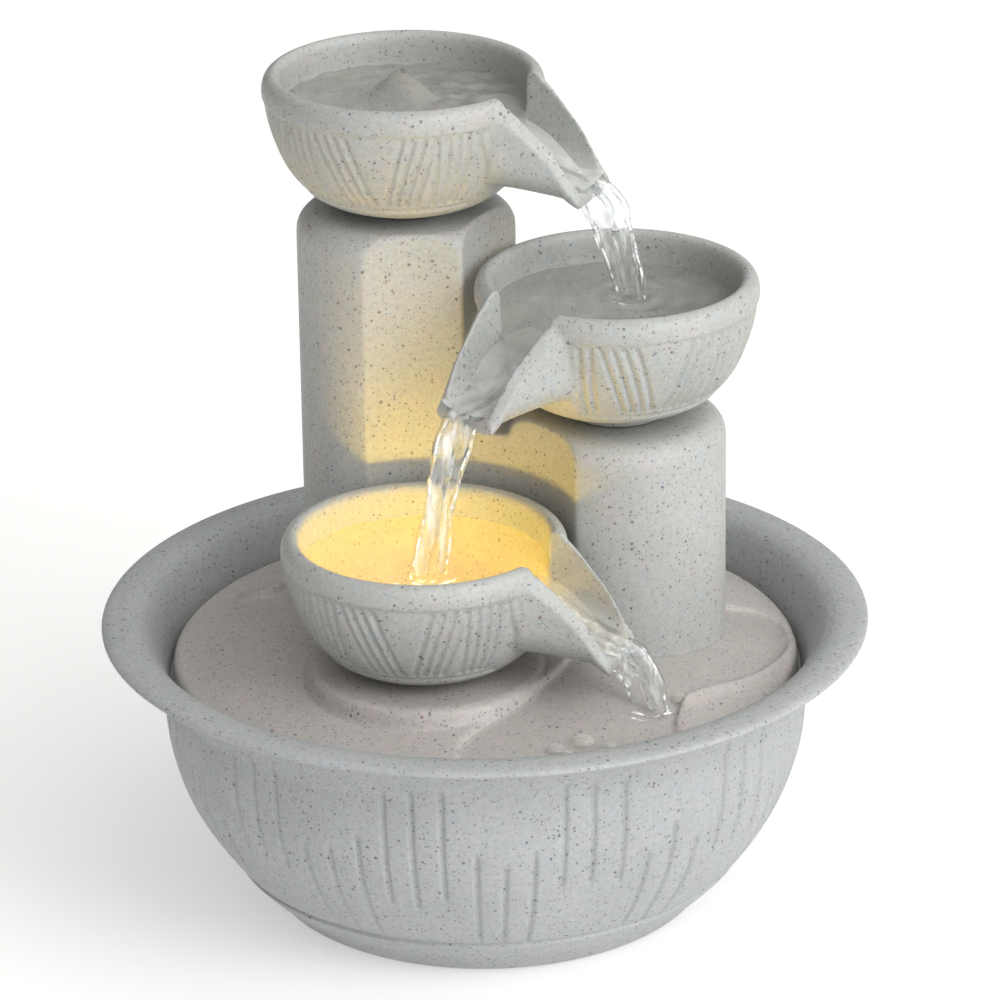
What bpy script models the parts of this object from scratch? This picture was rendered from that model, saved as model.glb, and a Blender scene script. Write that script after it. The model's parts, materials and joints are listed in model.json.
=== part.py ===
"""Tabletop water fountain: a flared basin, a deck with two joined columns, and three spouted bowls.

The frame has its origin at the middle of the basin's underside, +Z up and -Y to the front.
Lengths in this file are in millimetres, and new_object turns them into metres.
"""
import math

import bmesh
import bpy
from mathutils import Matrix, Vector

MM = 0.001
GAP = 0.3                    # clearance between pieces that touch

# Basin
RIM_R = 100.0
RIM_TOP = 77.2
BASIN_WALL = 2.6
BASIN_FLOOR = 6.0            # top of the basin's inside floor
BASIN_UNDER = 3.0            # underside of the floor, inside the foot ring
LEDGE_Z = 60.7               # shoulder that the deck stands on
FOOT_PAD_R = 6.0
FOOT_PAD_RING = 43.0
GROMMET_Z = 26.0
OUTLET_R = 8.0               # boss at the back that the lead's grommet sits in
OUTLET_IN = 68.0
OUTLET_OUT = 81.0

# Deck
DECK_R = 82.0
DECK_TOP = 75.0
DECK_FLAT_R = 38.0
DECK_DROP = 9.0
DECK_WALL = 3.0
DECK_RADII = (0.0, 38.0, 50.0, 65.0, 79.6)    # where the domed top is worked out
POOL_DEPTH = 1.6
PAD_R = 31.0
PAD_TOP = 75.5
PAD_HOLLOW_R = 28.5          # the pad is hollow underneath, up to PAD_HOLLOW_TOP
PAD_HOLLOW_TOP = 72.3
SCREW_HOLE_R = 1.7

# Columns: the tall one carries the top bowl, the short one the middle bowl
TALL = (-19.0, 33.0)
TALL_R = 28.6
TALL_TOP = 177.2
SHORT = (35.1, 4.3)
SHORT_R = 28.0
SHORT_TOP = 130.3
WEB_TOP = 124.0
COLUMN_WALL = 2.4
COLUMN_ROUND = 6.0

# Bowls: three of one shape, each with its rim height and the azimuth of its spout
LOW = (-15.0, -30.0)
SCOOP_R = 39.5               # hollow round a bowl, cut into the columns beside it
BOWL_R = 36.6
BOWL_BASE = -34.5            # underside, measured from the rim
BOWLS = {
    "top_bowl": {"at": TALL, "rim": 213.9, "spout": -25.0, "stands_on": TALL_TOP},
    "middle_bowl": {"at": SHORT, "rim": 168.0, "spout": -138.0, "stands_on": SHORT_TOP},
    "lower_bowl": {"at": LOW, "rim": 111.3, "spout": -21.6, "stands_on": PAD_TOP},
}
FOOT_R = 13.0                # short foot under each bowl
BOWL_FLOOR = -30.0           # where the lamp and the outlet sit, measured from the rim
SPOUT_REACH = 53.5
SPIGOT_R = 10.0
SPIGOT_LENGTH = 8.5
SPIGOT_HOLE_R = 10.5
SPIGOT_BORE_R = 8.0

# Pump, which stands under the tall column with its nozzle on the column's axis
PUMP_X = TALL[0]
PUMP_FRONT = 1.0
PUMP_BACK = 43.0
PUMP_HALF_WIDTH = 20.0
PUMP_BOTTOM = 11.0
PUMP_TOP = 40.0
NOZZLE_R = 4.2
NOZZLE_TOP = 54.0
ROTOR_Z = 25.5
ROTOR_BORE_R = 9.0
COIL_OFFSET = 14.6           # each coil's middle, to the side of the rotor's axis
SHAFT_R = 1.0
HOSE_IN_R = 4.5
HOSE_OUT_R = 6.2


# ---------------------------------------------------------------- materials

def material(name, color, roughness, metallic=0.0, glow=None):
    """A Principled BSDF of one colour, with an optional glow."""
    mat = bpy.data.materials.new(name)
    mat.use_nodes = True
    shader = mat.node_tree.nodes["Principled BSDF"]
    shader.inputs["Base Color"].default_value = (*color, 1.0)
    shader.inputs["Roughness"].default_value = roughness
    shader.inputs["Metallic"].default_value = metallic
    if glow:
        shader.inputs["Emission Color"].default_value = (*glow, 1.0)
        shader.inputs["Emission Strength"].default_value = 1.0
    return mat


def make_materials():
    """The finishes of the object, by slot name."""
    return {
        "basin_plastic": material("basin_plastic", (0.60, 0.62, 0.62), 0.55),
        "deck_plastic": material("deck_plastic", (0.60, 0.58, 0.57), 0.5),
        "column_plastic": material("column_plastic", (0.62, 0.63, 0.61), 0.55),
        "bowl_plastic": material("bowl_plastic", (0.64, 0.65, 0.62), 0.5),
        "black_plastic": material("black_plastic", (0.02, 0.02, 0.022), 0.4),
        "black_rubber": material("black_rubber", (0.02, 0.02, 0.02), 0.8),
        "clear_hose": material("clear_hose", (0.8, 0.83, 0.82), 0.15),
        "ceramic_shaft": material("ceramic_shaft", (0.85, 0.85, 0.82), 0.3),
        "rotor_ferrite": material("rotor_ferrite", (0.08, 0.08, 0.085), 0.5),
        "stator_steel": material("stator_steel", (0.45, 0.45, 0.46), 0.4, 1.0),
        "coil_copper": material("coil_copper", (0.75, 0.35, 0.15), 0.35, 1.0),
        "filter_sponge": material("filter_sponge", (0.03, 0.03, 0.03), 0.95),
        "screw_steel": material("screw_steel", (0.6, 0.6, 0.6), 0.3, 1.0),
        "lens_amber": material("lens_amber", (1.0, 0.80, 0.35), 0.15, glow=(1.0, 0.72, 0.2)),
        "board_white": material("board_white", (0.8, 0.8, 0.78), 0.5),
        "led_chip": material("led_chip", (1.0, 0.85, 0.4), 0.3, glow=(1.0, 0.75, 0.25)),
    }


# ---------------------------------------------------------------- shape tools

def new_object(name, mesh_data, mat, origin=(0.0, 0.0, 0.0)):
    """An object from a bmesh in millimetres, with its origin at the given point."""
    bmesh.ops.remove_doubles(mesh_data, verts=mesh_data.verts, dist=1e-5)
    bmesh.ops.recalc_face_normals(mesh_data, faces=mesh_data.faces)
    offset = Vector(origin)
    for vert in mesh_data.verts:
        vert.co = (vert.co - offset) * MM
    mesh = bpy.data.meshes.new(name)
    mesh_data.to_mesh(mesh)
    mesh_data.free()
    obj = bpy.data.objects.new(name, mesh)
    obj.location = offset * MM
    bpy.context.scene.collection.objects.link(obj)
    if mat:
        mesh.materials.append(mat)
    mesh.shade_smooth()
    mesh.set_sharp_from_angle(angle=math.radians(35))
    return obj


def loft(loops, capped=True):
    """A skin over loops of points, each loop closed, with flat ends."""
    data = bmesh.new()
    rings = [[data.verts.new(point) for point in loop] for loop in loops]
    for lower, upper in zip(rings, rings[1:]):
        for i in range(len(lower)):
            j = (i + 1) % len(lower)
            data.faces.new((lower[i], lower[j], upper[j], upper[i]))
    if capped:
        data.faces.new(list(reversed(rings[0])))
        data.faces.new(rings[-1])
    return data


def turned(profile, segments, at=(0.0, 0.0), lift=0.0):
    """A closed profile of (radius, height) points turned about a vertical axis."""
    data = bmesh.new()
    rings = []
    for radius, height in profile:
        if radius == 0.0:
            rings.append([data.verts.new((at[0], at[1], height + lift))])
            continue
        ring = []
        for i in range(segments):
            angle = math.tau * i / segments
            x = at[0] + radius * math.cos(angle)
            y = at[1] + radius * math.sin(angle)
            ring.append(data.verts.new((x, y, height + lift)))
        rings.append(ring)
    for here, there in zip(rings, rings[1:] + rings[:1]):
        if len(here) == 1 and len(there) == 1:
            continue
        for i in range(segments):
            j = (i + 1) % segments
            quad = (here[i % len(here)], here[j % len(here)],
                    there[j % len(there)], there[i % len(there)])
            corners = list(dict.fromkeys(quad))
            data.faces.new(corners)
    return data


def tube_profile(inner, outer, bottom, top):
    """The profile of a plain tube, or of a disc where inner is 0."""
    return [(inner, bottom), (outer, bottom), (outer, top), (inner, top)]


def cylinder(radius, bottom, top, at, segments=24):
    """A plain vertical cylinder."""
    return turned(tube_profile(0.0, radius, bottom, top), segments, at)


def along_y(profile, segments, x, z):
    """A profile of (radius, y) turned about the line through x and z that runs along Y."""
    data = turned(profile, segments)
    for vert in data.verts:
        across, up, depth = vert.co
        vert.co = Vector((x + across, depth, z + up))
    return data


def box(low, high):
    """A block between two corners."""
    data = bmesh.new()
    size = [b - a for a, b in zip(low, high)]
    middle = [(a + b) / 2 for a, b in zip(low, high)]
    bmesh.ops.create_cube(data, size=1.0)
    bmesh.ops.scale(data, vec=size, verts=data.verts)
    bmesh.ops.translate(data, vec=middle, verts=data.verts)
    return data


def rounded_box(low, high, radius, segments=2):
    """A block whose upright edges are rounded."""
    data = box(low, high)
    upright = [e for e in data.edges if abs(e.verts[0].co.z - e.verts[1].co.z) > 0.1]
    bmesh.ops.bevel(data, geom=upright, offset=radius, segments=segments, affect="EDGES")
    return data


def prism(outline, bottom, top):
    """An upright prism over a closed outline of (x, y) points."""
    return loft([[(x, y, bottom) for x, y in outline], [(x, y, top) for x, y in outline]])


def smooth_loop(points, steps=4):
    """A closed Catmull-Rom curve through the points."""
    curve = []
    count = len(points)
    for i in range(count):
        a, b, c, d = (Vector(points[(i + k) % count]) for k in (-1, 0, 1, 2))
        for step in range(steps):
            t = step / steps
            point = 0.5 * (2 * b + (c - a) * t + (2 * a - 5 * b + 4 * c - d) * t * t
                           + (3 * b - a - 3 * c + d) * t ** 3)
            curve.append((point.x, point.y))
    return curve


def combine(obj, data, operation):
    """Adds, cuts or intersects an object with a shape, and keeps the result as its mesh."""
    tool = new_object(obj.name + "_tool", data, None)
    step = obj.modifiers.new(operation.lower(), "BOOLEAN")
    step.operation = operation
    step.solver = "EXACT"
    step.object = tool
    bpy.context.view_layer.update()
    graph = bpy.context.evaluated_depsgraph_get()
    result = bpy.data.meshes.new_from_object(obj.evaluated_get(graph))
    obj.modifiers.clear()
    old = obj.data
    obj.data = result
    bpy.data.meshes.remove(old)
    bpy.data.objects.remove(tool)
    clean(obj)


def taken_shape(obj):
    """The shape of an object in millimetres, and the object itself is removed."""
    data = bmesh.new()
    data.from_mesh(obj.data)
    bmesh.ops.scale(data, verts=data.verts, vec=(1.0 / MM,) * 3)
    bpy.data.objects.remove(obj)
    return data


def clean(obj):
    """Welds the slivers that a Boolean leaves."""
    data = bmesh.new()
    data.from_mesh(obj.data)
    bmesh.ops.remove_doubles(data, verts=data.verts, dist=0.00002)
    bmesh.ops.dissolve_degenerate(data, dist=0.00002, edges=data.edges)
    data.to_mesh(obj.data)
    data.free()
    obj.data.set_sharp_from_angle(angle=math.radians(35))


def polar(at, radius, degrees):
    """The point at a distance and azimuth from a centre."""
    angle = math.radians(degrees)
    return (at[0] + radius * math.cos(angle), at[1] + radius * math.sin(angle))


# ---------------------------------------------------------------- basin

def basin_outer_radius(height):
    """The basin wall's outside radius, from a bulging curve between foot and throat."""
    share = min(max((height - 6.5) / 51.5, 0.0), 1.0)
    return 61.6 + 22.6 * (1.0 - (1.0 - share) ** 2.35)


def basin_profile():
    """Outside up from the foot ring, over the flared lip, and down the inside."""
    outer = [(52.0, 0.5), (56.8, 0.5), (60.6, 5.8), (61.6, 6.5)]
    heights = (12.0, 19.0, 28.0, 40.0, 58.0)
    outer += [(basin_outer_radius(h), h) for h in heights]
    lip_under = [(85.2, 62.6), (90.2, 68.6), (99.3, 74.5)]
    edge = [(RIM_R, 75.8), (98.6, RIM_TOP)]
    lip_over = [(91.3, 72.4), (85.6, 66.4), (82.9, LEDGE_Z), (80.0, LEDGE_Z)]
    inner = [(80.0, 52.0)]
    inner += [(basin_outer_radius(h) - BASIN_WALL, h) for h in (38.0, 26.0, 17.0)]
    inner += [(59.6, 9.0), (53.0, BASIN_FLOOR), (0.0, BASIN_FLOOR)]
    return outer + lip_under + edge + lip_over + inner + [(0.0, BASIN_UNDER), (50.0, BASIN_UNDER)]


def make_basin(mats):
    """The basin, with an outlet for the lead at the back."""
    basin = new_object("basin", turned(basin_profile(), 48), mats["basin_plastic"])
    outlet = along_y(tube_profile(0.0, OUTLET_R, OUTLET_IN, OUTLET_OUT), 24, 0.0, GROMMET_Z)
    combine(basin, outlet, "UNION")
    hole = along_y(tube_profile(0.0, 4.3, 60.0, 95.0), 20, 0.0, GROMMET_Z)
    combine(basin, hole, "DIFFERENCE")
    for i in range(4):
        at = polar((0.0, 0.0), FOOT_PAD_RING, 45.0 + 90.0 * i)
        pad = cylinder(FOOT_PAD_R, 0.0, BASIN_UNDER - GAP, at)
        new_object(f"foot_pad_{i + 1}", pad, mats["black_rubber"])
    inner, outer = OUTLET_IN - GAP, OUTLET_OUT + GAP
    grommet = [(2.6, inner - 1.6), (6.4, inner - 1.6), (6.4, inner), (4.0, inner), (4.0, outer),
               (6.2, outer), (5.6, outer + 1.6), (3.6, outer + 5.0), (2.6, outer + 5.0)]
    new_object("cable_grommet", along_y(grommet, 20, 0.0, GROMMET_Z), mats["black_rubber"])


# ---------------------------------------------------------------- deck and columns

def deck_height(radius):
    """The height of the deck's domed top at a distance from its middle."""
    share = max((radius - DECK_FLAT_R) / (DECK_R - DECK_FLAT_R), 0.0)
    return DECK_TOP - DECK_DROP * share ** 1.25


def dome_profile(offset, radii, floor):
    """A solid under the domed surface moved up or down, down to a floor."""
    top = [(r, deck_height(min(r, DECK_R)) + offset) for r in radii]
    return [(0.0, floor), (radii[-1], floor)] + list(reversed(top))


def pool_outline():
    """The shallow pool that the lower bowl pours into, open to the deck's front edge."""
    points = [(18.0, -36.0), (15.0, -43.0), (8.5, -50.0), (3.0, -56.0), (-5.5, -65.0),
              (-6.5, -72.0), (-6.0, -84.0), (20.0, -92.0), (52.0, -76.0), (50.0, -62.0),
              (48.0, -54.0), (50.5, -43.0), (56.5, -37.0), (67.0, -28.0), (76.0, -15.0),
              (79.6, -2.0), (78.5, 8.0), (72.0, 15.0), (60.0, 14.0), (35.0, 0.0)]
    return smooth_loop(points, 2)


def make_deck(mats):
    """The domed deck with its pad, pool, hose hole, and seats for the columns' screws."""
    top = [(r, deck_height(r)) for r in DECK_RADII]
    edge = [(81.2, 65.4), (DECK_R, 63.8), (DECK_R, LEDGE_Z + GAP), (80.4, LEDGE_Z + GAP)]
    skirt = [(79.4, 62.4)]
    under = [(r, deck_height(r) - DECK_WALL) for r in (77.0, 58.0, 38.0, 0.0)]
    deck = new_object("deck_plate", turned(top + edge + skirt + under, 48), mats["deck_plastic"])

    pool = new_object("pool_cutter", prism(pool_outline(), 60.0, 90.0), None)
    below = turned(dome_profile(-POOL_DEPTH, DECK_RADII + (96.0,), 50.0), 48)
    combine(pool, below, "DIFFERENCE")
    combine(pool, cylinder(SHORT_R - 0.1, 50.0, 95.0, SHORT, 40), "DIFFERENCE")
    combine(deck, taken_shape(pool), "DIFFERENCE")

    pad = [(0.0, 66.0), (PAD_R + 0.5, 66.0), (PAD_R, 72.5), (PAD_R - 0.9, 74.5),
           (PAD_R - 3.0, PAD_TOP), (0.0, PAD_TOP)]
    combine(deck, turned(pad, 40, LOW), "UNION")
    combine(deck, cylinder(PAD_HOLLOW_R, 50.0, PAD_HOLLOW_TOP, LOW, 36), "DIFFERENCE")
    combine(deck, cylinder(SPIGOT_HOLE_R + 1.0, 50.0, 90.0, LOW), "DIFFERENCE")
    combine(deck, cylinder(HOSE_OUT_R + 1.0, 50.0, 90.0, TALL), "DIFFERENCE")
    for at in screw_places():
        combine(deck, cylinder(SCREW_HOLE_R, 50.0, 90.0, at, 12), "DIFFERENCE")
    return deck


def screw_places():
    """The three screws that hold the columns to the deck, each under a boss in the shell."""
    reach = TALL_R - COLUMN_WALL - 3.6
    return [polar(TALL, reach, 150.0), polar(TALL, reach, 60.0), polar(SHORT, reach, 10.0)]


def column_profile(radius, bottom, top, rounding):
    """An upright cylinder with a rounded top edge."""
    arc = []
    for step in range(4):
        angle = math.radians(30.0 * step)
        arc.append((radius - rounding + rounding * math.cos(angle),
                    top - rounding + rounding * math.sin(angle)))
    return [(0.0, bottom), (radius, bottom)] + arc + [(0.0, top)]


def web_outline(inset):
    """The wall that joins the two columns behind the lower bowl."""
    along = Vector((SHORT[0] - TALL[0], SHORT[1] - TALL[1])).normalized()
    across = Vector((-along.y, along.x)) * (17.0 - inset)
    start = Vector(TALL) + along * 14.0
    end = Vector(SHORT) - along * 14.0
    return [tuple(p) for p in (start - across, end - across, end + across, start + across)]


def make_columns(mats):
    """One shell: both columns and the wall between them, open underneath."""
    base = 55.0
    tall = turned(column_profile(TALL_R, base, TALL_TOP, COLUMN_ROUND), 40, TALL)
    shell = new_object("column_shell", tall, mats["column_plastic"])
    short = turned(column_profile(SHORT_R, base - 1.0, SHORT_TOP, COLUMN_ROUND), 40, SHORT)
    combine(shell, short, "UNION")
    combine(shell, prism(web_outline(0.0), base - 2.0, WEB_TOP), "UNION")
    combine(shell, cylinder(SCOOP_R, 40.0, 200.0, LOW, 72), "DIFFERENCE")
    combine(shell, cylinder(SCOOP_R, SHORT_TOP + 2.0, 200.0, SHORT, 72), "DIFFERENCE")

    wall = COLUMN_WALL
    hollow = new_object("hollow", cylinder(TALL_R - wall, base - 5.0, TALL_TOP - wall, TALL, 32), None)
    combine(hollow, cylinder(SHORT_R - wall, base - 6.0, SHORT_TOP - wall, SHORT, 32), "UNION")
    combine(hollow, prism(web_outline(wall), base - 7.0, WEB_TOP - wall), "UNION")
    combine(hollow, cylinder(SCOOP_R + wall, 40.0, 200.0, LOW, 48), "DIFFERENCE")
    combine(hollow, cylinder(SCOOP_R + wall, SHORT_TOP, 200.0, SHORT, 48), "DIFFERENCE")
    for at in screw_places():
        combine(hollow, cylinder(4.4, 40.0, 92.0, at, 10), "DIFFERENCE")
    combine(shell, taken_shape(hollow), "DIFFERENCE")

    combine(shell, turned(dome_profile(GAP, DECK_RADII + (96.0,), 30.0), 48), "DIFFERENCE")
    combine(shell, cylinder(SPIGOT_HOLE_R, 150.0, 200.0, TALL), "DIFFERENCE")
    combine(shell, cylinder(SPIGOT_HOLE_R, 120.0, 140.0, SHORT), "DIFFERENCE")
    for i, at in enumerate(screw_places()):
        combine(shell, cylinder(1.4, 60.0, 88.0, at, 12), "DIFFERENCE")
        under = deck_height(math.hypot(*at)) - DECK_WALL
        screw = [(0.0, under - 2.4), (2.6, under - 2.4), (3.0, under - 1.9), (3.0, under - GAP - 0.6),
                 (1.1, under - GAP - 0.6), (1.1, 86.0), (0.0, 87.2)]
        new_object(f"column_screw_{i + 1}", turned(screw, 12, at), mats["screw_steel"])


def make_hose(mats):
    """The riser hose, pushed over the pump's nozzle and round the top bowl's outlet."""
    hose = tube_profile(HOSE_IN_R, HOSE_OUT_R, 46.0, 167.0)
    new_object("riser_hose", turned(hose, 16, TALL), mats["clear_hose"])


# ---------------------------------------------------------------- bowls

def bowl_profile(hole_radius, foot):
    """A closed profile of a bowl with a rolled rim, on a short foot with a hole through it."""
    outside = [(16.5, BOWL_BASE), (20.4, -31.0), (26.6, -27.0), (31.2, -22.0), (34.6, -14.0),
               (BOWL_R, -5.0), (36.2, -1.8), (34.2, 0.0)]
    inside = [(32.6, -0.6), (31.8, -3.0), (31.2, -12.0), (27.4, -21.5), (21.0, -27.0),
              (hole_radius, -30.6)]
    return outside + inside + [(hole_radius, foot), (FOOT_R, foot), (FOOT_R, BOWL_BASE)]


def spigot_profile(hole_radius, foot):
    """A bowl with a hollow spigot under its foot, which plugs into a column."""
    end = foot - SPIGOT_LENGTH
    ceiling = BOWL_BASE if hole_radius else BOWL_BASE + 1.0
    bore = [(hole_radius, ceiling), (SPIGOT_BORE_R, ceiling), (SPIGOT_BORE_R, end), (SPIGOT_R, end),
            (SPIGOT_R, foot)]
    plain = bowl_profile(hole_radius, foot)
    return plain[:-3] + bore + plain[-2:]


def spout_section(reach, half_width, bottom, top, bevel=3.4):
    """A trough's outline across the spout: bevelled along the top, rounded along the bottom."""
    height = top - bottom
    corner = min(half_width * 0.55, height * 0.5)
    drop = min(bevel, height * 0.35)
    points = [(half_width - drop * 0.7, top), (half_width, top - drop), (half_width, bottom + corner)]
    points += [(half_width - corner * 0.3, bottom + corner * 0.3), (half_width - corner, bottom)]
    points += [(-x, z) for x, z in reversed(points)]
    return [(reach, x, z) for x, z in points]


# The spout's sections: reach, half width, floor and top, measured from the rim
SPOUT_OUTER = [(18.0, 14.2, -24.4, -0.4), (30.0, 14.2, -24.8, -0.6), (34.0, 14.0, -25.1, -1.9),
               (38.0, 13.4, -25.5, -4.9), (42.0, 12.7, -26.0, -8.7), (46.0, 11.9, -26.5, -12.8),
               (49.0, 11.3, -27.0, -17.2), (51.5, 10.8, -27.6, -21.8), (SPOUT_REACH, 10.4, -28.1, -25.0)]
SPOUT_CHANNEL = [(10.0, 11.4, -19.6, 5.0), (30.0, 11.4, -21.8, 5.0), (34.0, 11.3, -22.4, 5.0),
                 (38.0, 10.8, -22.9, 5.0), (42.0, 10.1, -23.4, 5.0), (46.0, 9.4, -24.0, 5.0),
                 (50.0, 8.7, -24.7, 5.0), (57.0, 8.0, -25.8, 5.0)]


def swept_spout(stations, at, rim, azimuth):
    """A trough through its stations, turned to its azimuth and placed at a bowl's rim."""
    data = loft([spout_section(*station) for station in stations])
    turn = Matrix.Rotation(math.radians(azimuth), 3, "Z")
    bmesh.ops.rotate(data, verts=data.verts, cent=(0.0, 0.0, 0.0), matrix=turn)
    bmesh.ops.translate(data, verts=data.verts, vec=(at[0], at[1], rim))
    return data


def middle_of_wall(at, rim):
    """A solid bounded by the middle of a bowl's wall, which trims the spout's root."""
    profile = [(0.0, 8.0), (34.2, 8.0), (34.2, -5.0), (32.9, -13.5), (29.3, -21.9), (24.0, -26.9),
               (17.0, -30.2), (0.0, -32.0)]
    return turned(profile, 36, at, rim)


def make_bowl(name, hole_radius, mats, profile_of):
    """A bowl with its spout, centred on its own axis."""
    spec = BOWLS[name]
    foot = spec["stands_on"] + GAP - spec["rim"]
    body = turned(profile_of(hole_radius, foot), 40, spec["at"], spec["rim"])
    bowl = new_object(name, body, mats["bowl_plastic"], (*spec["at"], spec["rim"]))
    place = (spec["at"], spec["rim"], spec["spout"])
    spout = new_object("spout", swept_spout(SPOUT_OUTER, *place), None)
    combine(spout, middle_of_wall(spec["at"], spec["rim"]), "DIFFERENCE")
    combine(bowl, taken_shape(spout), "UNION")
    combine(bowl, swept_spout(SPOUT_CHANNEL, *place), "DIFFERENCE")
    return bowl


def make_bowls(mats):
    """The three bowls, and the outlet that feeds the top one."""
    make_bowl("top_bowl", 5.4, mats, spigot_profile)
    make_bowl("middle_bowl", 0.0, mats, spigot_profile)
    make_bowl("lower_bowl", 9.4, mats, bowl_profile)

    rim = BOWLS["top_bowl"]["rim"]
    seat = BOWL_FLOOR + GAP
    outlet = [(2.8, -60.0), (4.2, -60.0), (4.2, -41.0), (5.0, -40.6), (5.0, seat + 1.2),
              (8.6, seat + 1.2), (8.2, -26.6), (5.4, -25.6), (2.8, -25.6)]
    new_object("top_outlet_nozzle", turned(outlet, 20, TALL, rim), mats["black_plastic"])
    seal = tube_profile(5.3, 8.4, seat, seat + 0.9)
    new_object("top_outlet_seal", turned(seal, 20, TALL, rim), mats["black_rubber"])
    nut = tube_profile(5.3, 7.6, BOWL_BASE - 4.6, BOWL_BASE - GAP)
    new_object("top_outlet_nut", turned(nut, 12, TALL, rim), mats["black_plastic"])


# ---------------------------------------------------------------- lamp

def make_lamp(mats):
    """The sealed lamp in the lower bowl's floor."""
    rim = BOWLS["lower_bowl"]["rim"]
    seat = BOWL_FLOOR + GAP + 0.2
    housing = [(0.0, -56.0), (8.0, -56.0), (8.9, -55.0), (8.9, seat), (11.6, seat), (11.2, seat + 1.6),
               (8.6, seat + 1.6), (8.6, seat + 0.4), (7.4, seat + 0.4), (7.4, -53.6), (0.0, -53.6)]
    new_object("lamp_housing", turned(housing, 24, LOW, rim), mats["black_plastic"])
    lens_low = seat + 0.4 + GAP
    lens = [(0.0, lens_low), (8.2, lens_low), (8.2, seat + 1.8), (6.6, seat + 3.2), (3.6, seat + 4.2),
            (0.0, seat + 4.5)]
    new_object("lamp_lens", turned(lens, 24, LOW, rim), mats["lens_amber"])
    board_top = -38.0
    board = tube_profile(0.0, 7.0, board_top - 1.6, board_top)
    new_object("lamp_board", turned(board, 20, LOW, rim), mats["board_white"])
    spacer = tube_profile(5.4, 7.0, -53.6 + GAP, board_top - 1.6 - GAP)
    new_object("lamp_spacer", turned(spacer, 20, LOW, rim), mats["black_plastic"])
    for i in range(3):
        x, y = polar(LOW, 3.6, 90.0 + 120.0 * i)
        low = (x - 1.25, y - 1.25, rim + board_top + 0.1)
        high = (x + 1.25, y + 1.25, rim + board_top + 1.1)
        new_object(f"lamp_led_{i + 1}", box(low, high), mats["led_chip"])
    foot = PAD_TOP + GAP - rim
    nut = tube_profile(9.4, 10.9, foot - 7.6, foot - GAP)
    new_object("lamp_nut", turned(nut, 18, LOW, rim), mats["black_plastic"])
    gland = [(1.4, -60.0), (2.6, -60.0), (3.4, -56.0 - GAP), (1.4, -56.0 - GAP)]
    new_object("lamp_gland", turned(gland, 16, LOW, rim), mats["black_rubber"])


# ---------------------------------------------------------------- pump

def make_pump_body(mats):
    """The pump's casing: nozzle on top, wet end at the front, motor pocket at the back."""
    x, z = PUMP_X, ROTOR_Z
    half = PUMP_HALF_WIDTH
    body = new_object("pump_body", rounded_box((x - half, PUMP_FRONT, PUMP_BOTTOM),
                                               (x + half, PUMP_BACK, PUMP_TOP), 3.0),
                      mats["black_plastic"])
    combine(body, cylinder(NOZZLE_R, PUMP_TOP - 3.0, NOZZLE_TOP, TALL, 20), "UNION")
    volute = along_y(tube_profile(0.0, 11.6, PUMP_FRONT - 1.0, PUMP_FRONT + 9.0), 28, x, z)
    combine(body, volute, "DIFFERENCE")
    rotor = along_y(tube_profile(0.0, ROTOR_BORE_R, PUMP_FRONT, PUMP_FRONT + 28.0), 24, x, z)
    combine(body, rotor, "DIFFERENCE")
    rise_y = PUMP_FRONT + 5.0
    combine(body, cylinder(2.8, z + 6.0, PUMP_TOP - 3.6, (x, rise_y), 16), "DIFFERENCE")
    duct = along_y(tube_profile(0.0, 2.7, rise_y - 2.0, TALL[1] + 1.0), 16, x, PUMP_TOP - 5.2)
    combine(body, duct, "DIFFERENCE")
    combine(body, cylinder(2.6, PUMP_TOP - 6.0, NOZZLE_TOP + 2.0, TALL, 16), "DIFFERENCE")
    pocket_low = (x - half + 2.5, PUMP_BACK - 9.0, PUMP_BOTTOM + 2.5)
    pocket_high = (x + half - 2.5, PUMP_BACK + 2.0, PUMP_TOP - 9.5)
    combine(body, box(pocket_low, pocket_high), "DIFFERENCE")
    for side in (-1, 1):
        slot_x = x + side * COIL_OFFSET
        low = (min(slot_x - 3.2, slot_x + 3.2), PUMP_FRONT + 12.0, PUMP_BOTTOM + 4.0)
        high = (max(slot_x - 3.2, slot_x + 3.2), PUMP_BACK - 8.0, PUMP_TOP - 11.0)
        combine(body, box(low, high), "DIFFERENCE")
    return body


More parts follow.
